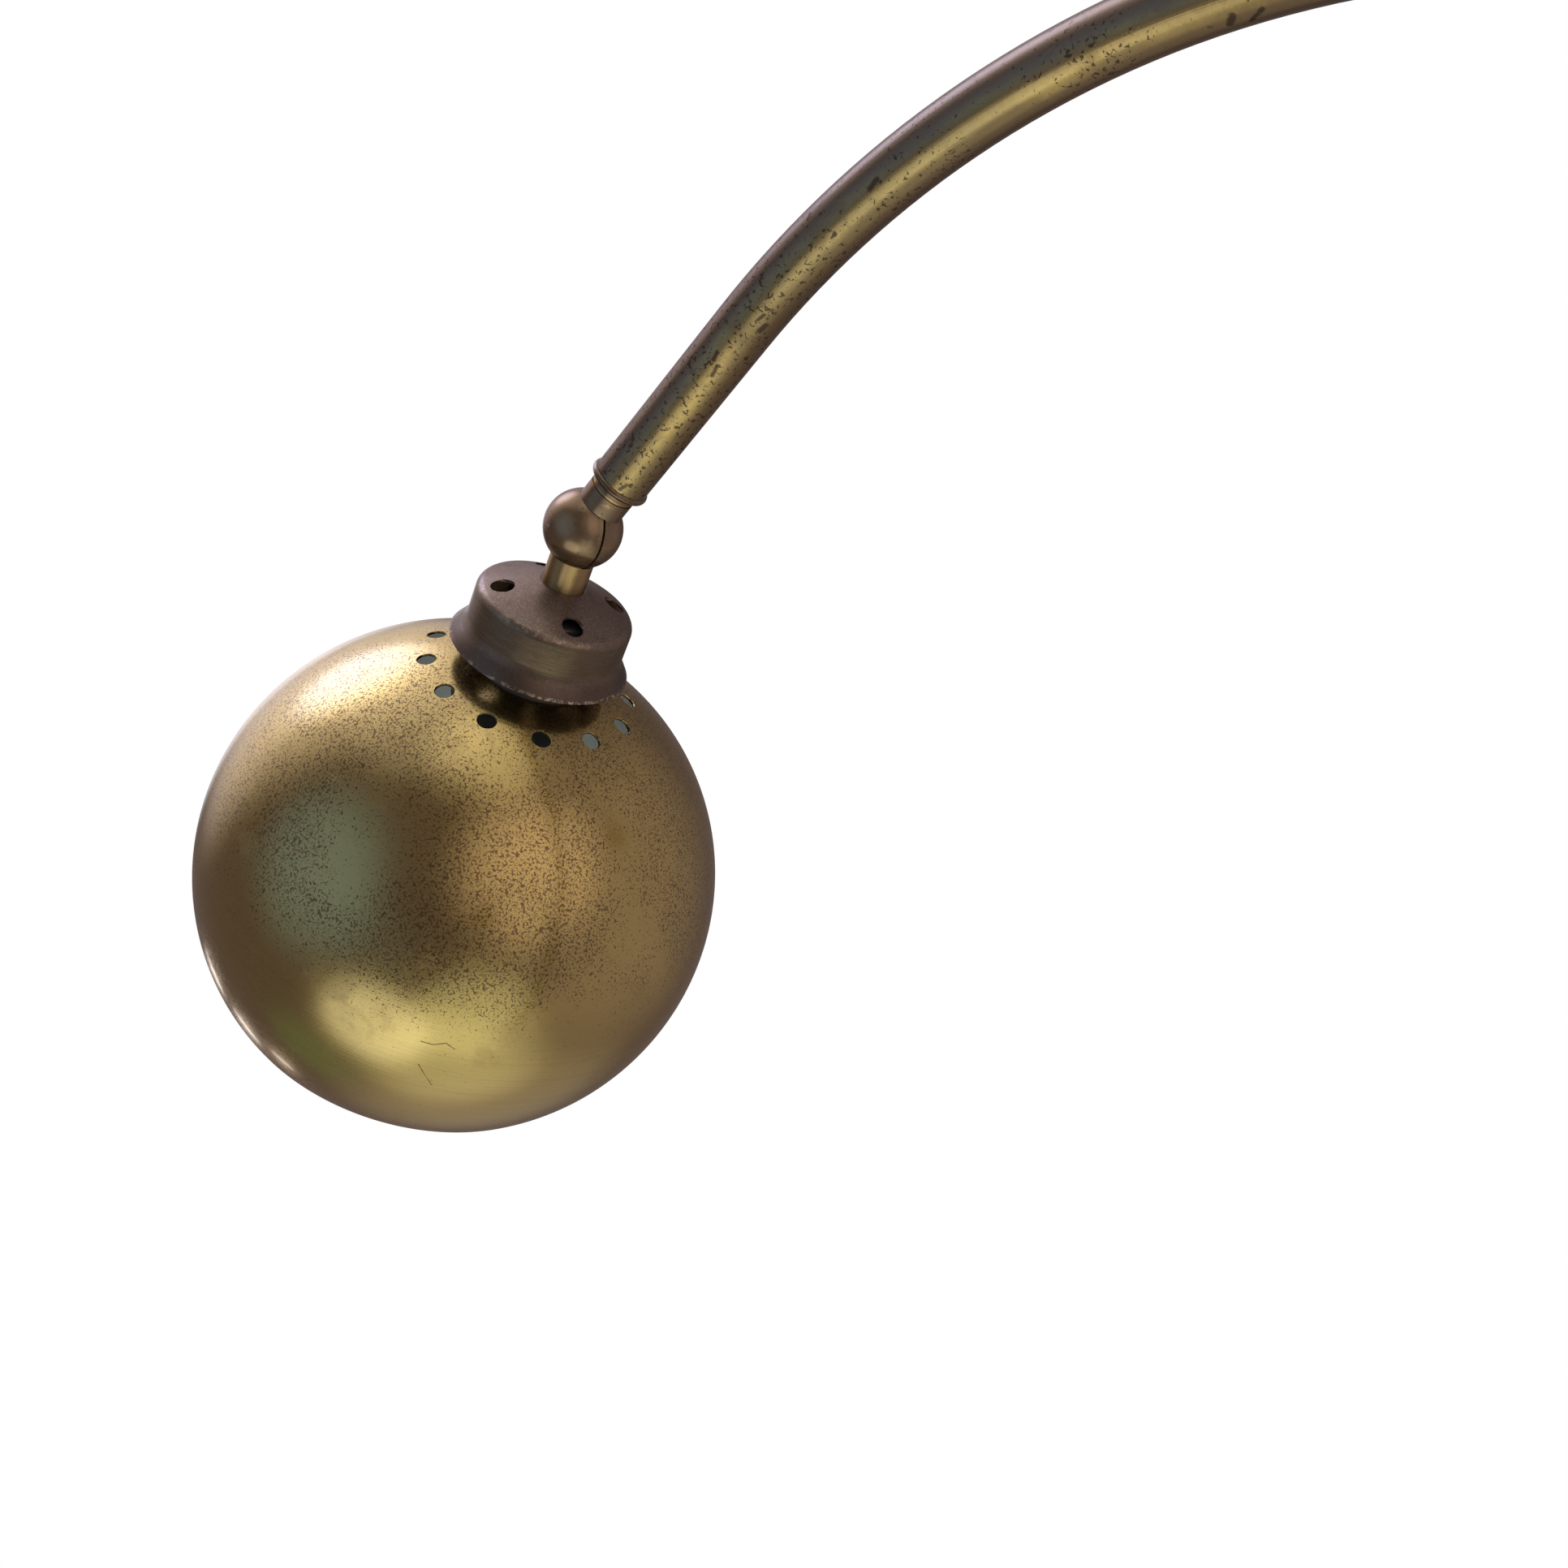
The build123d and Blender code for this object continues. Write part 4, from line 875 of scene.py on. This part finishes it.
def cap_bronze():
    """Dark bronze with a fine pale grain, brushed round the wall and worn pale at its edges; the wall is
    painted darker and the flare darker still as painted shade.
    """
    material, shader, nodes, colour, lathe, relief = aged_brass(
        "cap_bronze", (0.150, 0.104, 0.084), (0.115, 0.079, 0.064), (0.065, 0.044, 0.035),
        roughness=0.33, spots=0.2, coat=0.1, lines=1, grain=0.6,
    )
    place = nodes.add("TexCoord").outputs["Object"]
    parts = nodes.add("SeparateXYZ", {0: lathe}).outputs
    level_place = nodes.add("VectorMath", {0: lathe, 1: (1, 1, 0)}, operation="MULTIPLY").outputs[0]
    across = nodes.add("VectorMath", {0: level_place}, operation="LENGTH").outputs["Value"]
    pale = nodes.band(noise(nodes, place, 1300, 3, 0.65), 0.50, 0.66)
    colour = nodes.blend(nodes.math("MULTIPLY", pale, 0.35), colour, (0.34, 0.28, 0.24))
    wear = nodes.band(noise(nodes, place, 420, 4, 0.7), 0.46, 0.56)
    wear = nodes.math("MULTIPLY", wear, nodes.band(noise(nodes, place, 45, 3), 0.38, 0.56))

    def worn(radius, height, reach, amount):
        """Share of an edge's wear near its radius and height."""
        far = nodes.math("SQRT", nodes.math(
            "ADD",
            nodes.math("POWER", nodes.math("SUBTRACT", across, radius * mm), 2),
            nodes.math("POWER", nodes.math("SUBTRACT", parts["Z"], height * mm), 2),
        ))
        near = nodes.band(far, reach * mm, 0.2 * reach * mm)
        return nodes.math("MULTIPLY", nodes.math("MULTIPLY", near, wear), amount)

    rubbed = worn(cap_wall - 0.5, shoulder, 2.2, 0.35)
    rubbed = nodes.math("MAXIMUM", rubbed, worn(cap_rim, rim_height, 1.8, 0.8))
    # The upright wall is painted a darker olive brown, partly its brushed tone and partly painted shade.
    wall = nodes.math("MULTIPLY", nodes.band(parts["Z"], (shoulder + 1) * mm, (shoulder - 3) * mm),
                      nodes.band(parts["Z"], (wall_foot - 2) * mm, (wall_foot + 2) * mm))
    colour = nodes.blend(nodes.math("MULTIPLY", wall, 0.75), colour, (0.090, 0.063, 0.036))
    brush = nodes.add("Mapping", {"Vector": lathe, "Scale": (90, 90, 4200)}).outputs[0]
    brushed = nodes.math("MULTIPLY", nodes.band(noise(nodes, brush, 1, 4, 0.7), 0.46, 0.66), wall)
    colour = nodes.blend(nodes.math("MULTIPLY", brushed, 0.5), colour, (0.215, 0.155, 0.085))
    # Painted shade: the downward-facing flare is painted darker still.
    flare_shade = nodes.band(parts["Z"], (wall_foot + 2) * mm, (wall_foot - 3) * mm)
    colour = nodes.blend(nodes.math("MULTIPLY", flare_shade, 0.75), colour, (0.064, 0.042, 0.030))
    colour = nodes.blend(rubbed, colour, (0.52, 0.42, 0.32))
    nodes.feed(shader.inputs["Base Color"], colour)
    nodes.feed(shader.inputs["Metallic"], nodes.math("ADD", 0.78, nodes.math("MULTIPLY", rubbed, 0.22)))
    nodes.feed(shader.inputs["Specular Tint"], (0.6, 0.55, 0.55))
    return material


bronze = cap_bronze()
cap_corners = [
    (stem_bore, cap_top, 0), (9.5, cap_top, 3), (cap_wall, shoulder, 4), (cap_wall, wall_foot, 8),
    (cap_rim, rim_height, 0),
]
for arm in arms:
    drills = []
    for count in range(4):
        vent = heading(90 * count - 12, 0) * cap_vent_ring * mm + up * (shoulder + 3.2) * mm
        drills.append(put(vent_drill(cap_vent_radius, -12, 12), Matrix.Translation(vent)))
    cap = carved(spun(cap_corners, 160, cap_sheet), gathered(drills))
    finished(
        cap, f"cap_{arm.name}", f"head_{arm.name}", bronze, [f"holder_cap_{arm.name}"],
        arm.head_place,
    )


# Globe shades. Spun from brass sheet: flat where the holder clamps it, cut open below, and
# drilled with twelve vents near the top. Outside it is satin brass that has aged in clouds and
# fine spots; inside it is painted a pale grey green.
globe_wall = 1
globe_bore = 20
mouth_angle = radians(50)
vent_angle = radians(22.6)
vent_radius = 3.75


def globe_shape():
    """Globe about its own centre, +Z towards the swivel."""
    shape = bmesh.new()
    flat = draw(shape, [(globe_bore, land_height, 0), (land_radius, land_height, 0)])
    sweep = pi - mouth_angle - asin(land_radius / globe_radius)
    bmesh.ops.spin(shape, geom=[flat[-1]], cent=(0, 0, 0), axis=(0, 1, 0), angle=sweep, steps=90)
    shell = thickened(turn(shape, 192), globe_wall)
    drills = []
    for count in range(12):
        ray = up * cos(vent_angle) + heading(12 + 30 * count, 0) * sin(vent_angle)
        vent = along(ray * globe_radius * mm, ray, ray.orthogonal().normalized())
        drills.append(put(vent_drill(vent_radius, -6, 6), vent))
    return carved(shell, gathered(drills))


globe_scratches = [
    {"start": (-56, -94.5, -1), "end": (-52, -97, -1), "width": 0.4},
    {"start": (-52, -97, -1), "end": (-48, -99, 1), "width": 0.4},
    {"start": (-48, -99, 1), "end": (-44.5, -100.5, -1), "width": 0.35},
    {"start": (-54, -95, -13), "end": (-46, -97, -23.5), "width": 0.35},
    {"start": (1, -104, 35.5), "end": (1.5, -104, 36), "width": 0.9},
    {"start": (-91, -53.5, 32), "end": (-90, -55.5, 30), "width": 0.6},
]


def globe_brass():
    """Satin brass: gold and orange-brown clouds, thick fine spots above, turning lines below."""
    material, shader, nodes, colour, lathe, relief = aged_brass(
        "globe_brass", (0.465, 0.340, 0.130), (0.43, 0.320, 0.125), (0.38, 0.260, 0.105),
        roughness=0.22, spots=0, coat=0.33, lines=1, grain=0.12,
    )
    place = nodes.add("TexCoord").outputs["Object"]
    height = nodes.add("SeparateXYZ", {0: lathe}).outputs["Z"]
    patches = nodes.band(noise(nodes, place, 20, 3), 0.18, 0.5)
    crowd = nodes.math("MULTIPLY", nodes.band(height, -0.02, 0.035), patches)
    limit = nodes.math("SUBTRACT", 0.74, nodes.math("MULTIPLY", crowd, 0.19))
    flecks = nodes.band(nodes.math("SUBTRACT", noise(nodes, place, 1050, 2, 0.5, 0.1), limit), 0, 0.025)
    pepper = nodes.band(nodes.math("SUBTRACT", noise(nodes, place, 1700, 2), limit), 0, 0.05)
    spots = nodes.math("MAXIMUM", flecks, nodes.math("MULTIPLY", pepper, 0.7))
    push = shaky(nodes, place, 0.25)
    for scratch in globe_scratches:
        start, end = (Vector(scratch[point]).normalized() * globe_radius for point in ("start", "end"))
        mark = stroke(nodes, lathe, start, end, scratch["width"], push)
        spots = nodes.math("MAXIMUM", spots, mark)
    colour = nodes.blend(nodes.math("MULTIPLY", spots, 0.85), colour, (0.085, 0.04, 0.018))
    brush = nodes.add("Mapping", {"Vector": lathe, "Scale": (12, 12, 1500)}).outputs[0]
    brushed = nodes.band(noise(nodes, brush, 1, 4, 0.7), 0.46, 0.66)
    brushed = nodes.math("MULTIPLY", brushed, nodes.band(height, 0.03, -0.03))
    colour = nodes.blend(nodes.math("MULTIPLY", brushed, 0.35), colour, (0.26, 0.18, 0.07))
    nodes.feed(shader.inputs["Base Color"], colour)
    nodes.feed(shader.inputs["Metallic"], nodes.math("SUBTRACT", 1, nodes.math("MULTIPLY", spots, 0.15)))
    nodes.feed(shader.inputs["Specular Tint"], (0.95, 0.88, 0.80))
    return material


def shade_paint():
    """Pale grey-green paint inside the globe, slightly uneven."""
    material, shader, nodes = new_material("shade_paint")
    place = nodes.add("TexCoord").outputs["Object"]
    uneven = noise(nodes, place, 60, 4, 0.6)
    nodes.feed(shader.inputs["Base Color"], nodes.blend(uneven, (0.33, 0.36, 0.35), (0.42, 0.45, 0.43)))
    nodes.feed(shader.inputs["Roughness"], 0.45)
    bump(nodes, shader, noise(nodes, place, 700, 3), 0.00005)
    return material


def smooth_ball(mesh, centre):
    """Give the faces of a ball's two surfaces the normals of a true ball."""
    true_normals = [Vector((0, 0, 0))] * len(mesh.loops)
    for face in mesh.polygons:
        middle = face.center - centre
        facing = face.normal.dot(middle.normalized())
        if abs(facing) < 0.995:
            continue
        for loop in face.loop_indices:
            radius = mesh.vertices[mesh.loops[loop].vertex_index].co - centre
            true_normals[loop] = radius.normalized() * (1 if facing > 0 else -1)
    mesh.normals_split_custom_set(true_normals)


satin = globe_brass()
inside_paint = shade_paint()
for arm in arms:
    globe = finished(
        globe_shape(), f"globe_shade_{arm.name}", f"head_{arm.name}", satin,
        [f"globe_{arm.name}"], arm.head_place,
    )
    globe.data.materials.append(inside_paint)
    for face in globe.data.polygons:
        middle = face.center - arm.globe
        inner = middle.length < (globe_radius - 0.8 * globe_wall) * mm
        face.material_index = int(inner and face.normal.dot(middle) < 0)
    smooth_ball(globe.data, arm.globe)


# Lamp holder, the ring that clamps the globe, and the bulb. The holder and the ring are black
# phenolic; the bulb is a frosted pear with a plated screw cap.
holder_radius = 19.8
holder_bore = 14.03
holder_top = cap_top - cap_sheet
holder_foot = holder_top - 58.3
cavity_top = holder_foot + 32
nose_radius = 8.7
nose_foot = holder_top - 8.3
collar_radius = 25
collar_top = land_height + 3.5
holder_corners = [
    (stem_bore, holder_top, 0), (nose_radius, holder_top, 0.4), (nose_radius, nose_foot, 0.6),
    (holder_radius, nose_foot, 1.2), (holder_radius, collar_top, 0.5), (collar_radius, collar_top, 0.7),
    (collar_radius, land_height, 0), (holder_radius, land_height, 0), (holder_radius, holder_foot, 0.8),
    (holder_bore, holder_foot, 0.5), (holder_bore, cavity_top, 0), (stem_bore, cavity_top, 0),
]
ring_radius = 28.5
ring_bore = holder_radius + 0.03
ring_top = land_height - globe_wall
ring_foot = ring_top - 19
ring_corners = [
    (ring_bore, ring_foot, 0.4), (ring_radius, ring_foot, 1.0), (ring_radius, ring_top - 2.5, 0.6),
    (collar_radius, ring_top, 0.3), (ring_bore, ring_top, 0.2),
]
bulb_tip = cavity_top - 3.2
bulb_foot = bulb_tip - 25
bulb_centre = bulb_foot - 50
thread_pitch = 3.6


def screw_cap():
    """Plated cap of the bulb: contact, insulator's slope and rounded thread."""
    corners = [(0, bulb_tip, 0), (4.5, bulb_tip, 0.4), (12.4, bulb_tip - 4, 0.5)]
    for count in range(5):
        crest = bulb_tip - 5.4 - thread_pitch * count
        corners += [(13.2, crest, 0.8), (12.3, crest - thread_pitch / 2, 0.8)]
    corners += [(12.9, bulb_foot + 1, 0.3), (12.9, bulb_foot, 0), (0, bulb_foot, 0)]
    return turned(corners, 64)


def bulb_shape():
    """Pear of thin glass: a neck, a hollow sweep and a round end."""
    neck, hollow, round_end = 12.8, 40.0, 30.0
    across = neck + hollow
    rise = sqrt((round_end + hollow) ** 2 - across**2)
    meet = atan2(rise, across)
    shape = bmesh.new()
    points = draw(shape, [(neck, bulb_foot, 0), (neck, bulb_centre + rise, 0)])
    swept = bmesh.ops.spin(
        shape, geom=[points[-1]], cent=(across * mm, 0, (bulb_centre + rise) * mm), axis=(0, 1, 0),
        angle=-meet, steps=16,
    )["geom_last"]
    bmesh.ops.spin(
        shape, geom=[item for item in swept if isinstance(item, bmesh.types.BMVert)],
        cent=(0, 0, bulb_centre * mm), axis=(0, 1, 0), angle=meet + pi / 2, steps=32,
    )
    turn(shape, 96)
    bmesh.ops.solidify(shape, geom=shape.faces[:], thickness=0.8 * mm)
    return shape


def frosted_glass():
    """Glass etched white on the inside."""
    material, shader, nodes = new_material("frosted_glass")
    place = nodes.add("TexCoord").outputs["Object"]
    frost = nodes.blend(noise(nodes, place, 90, 3), (0.86, 0.85, 0.82), (0.93, 0.92, 0.90))
    nodes.feed(shader.inputs["Base Color"], frost)
    nodes.feed(shader.inputs["Roughness"], 0.32)
    nodes.feed(shader.inputs["Transmission Weight"], 0.35)
    nodes.feed(shader.inputs["IOR"], 1.45)
    bump(nodes, shader, noise(nodes, place, 1500, 2), 0.00002)
    return material


phenolic = moulded("black_phenolic", (0.022, 0.020, 0.019), 0.30, 600)
nickel = plated_steel("nickel_plate", (0.62, 0.59, 0.53), 0.24)
glass = frosted_glass()
for arm in arms:
    for shape, name, material, slot, replaced in (
        (turned(holder_corners, 96), "holder", phenolic, "holder_moulding", "lamp_holder"),
        (turned(ring_corners, 96), "clamp_ring", phenolic, "holder_moulding", "shade_ring"),
        (screw_cap(), "bulb_cap", nickel, "nickel", "bulb_base"),
        (bulb_shape(), "bulb", glass, "bulb_glass", "bulb_glass"),
    ):
        finished(
            shape, f"{name}_{arm.name}", f"head_{arm.name}", material, [f"{replaced}_{arm.name}"],
            arm.head_place,
        )
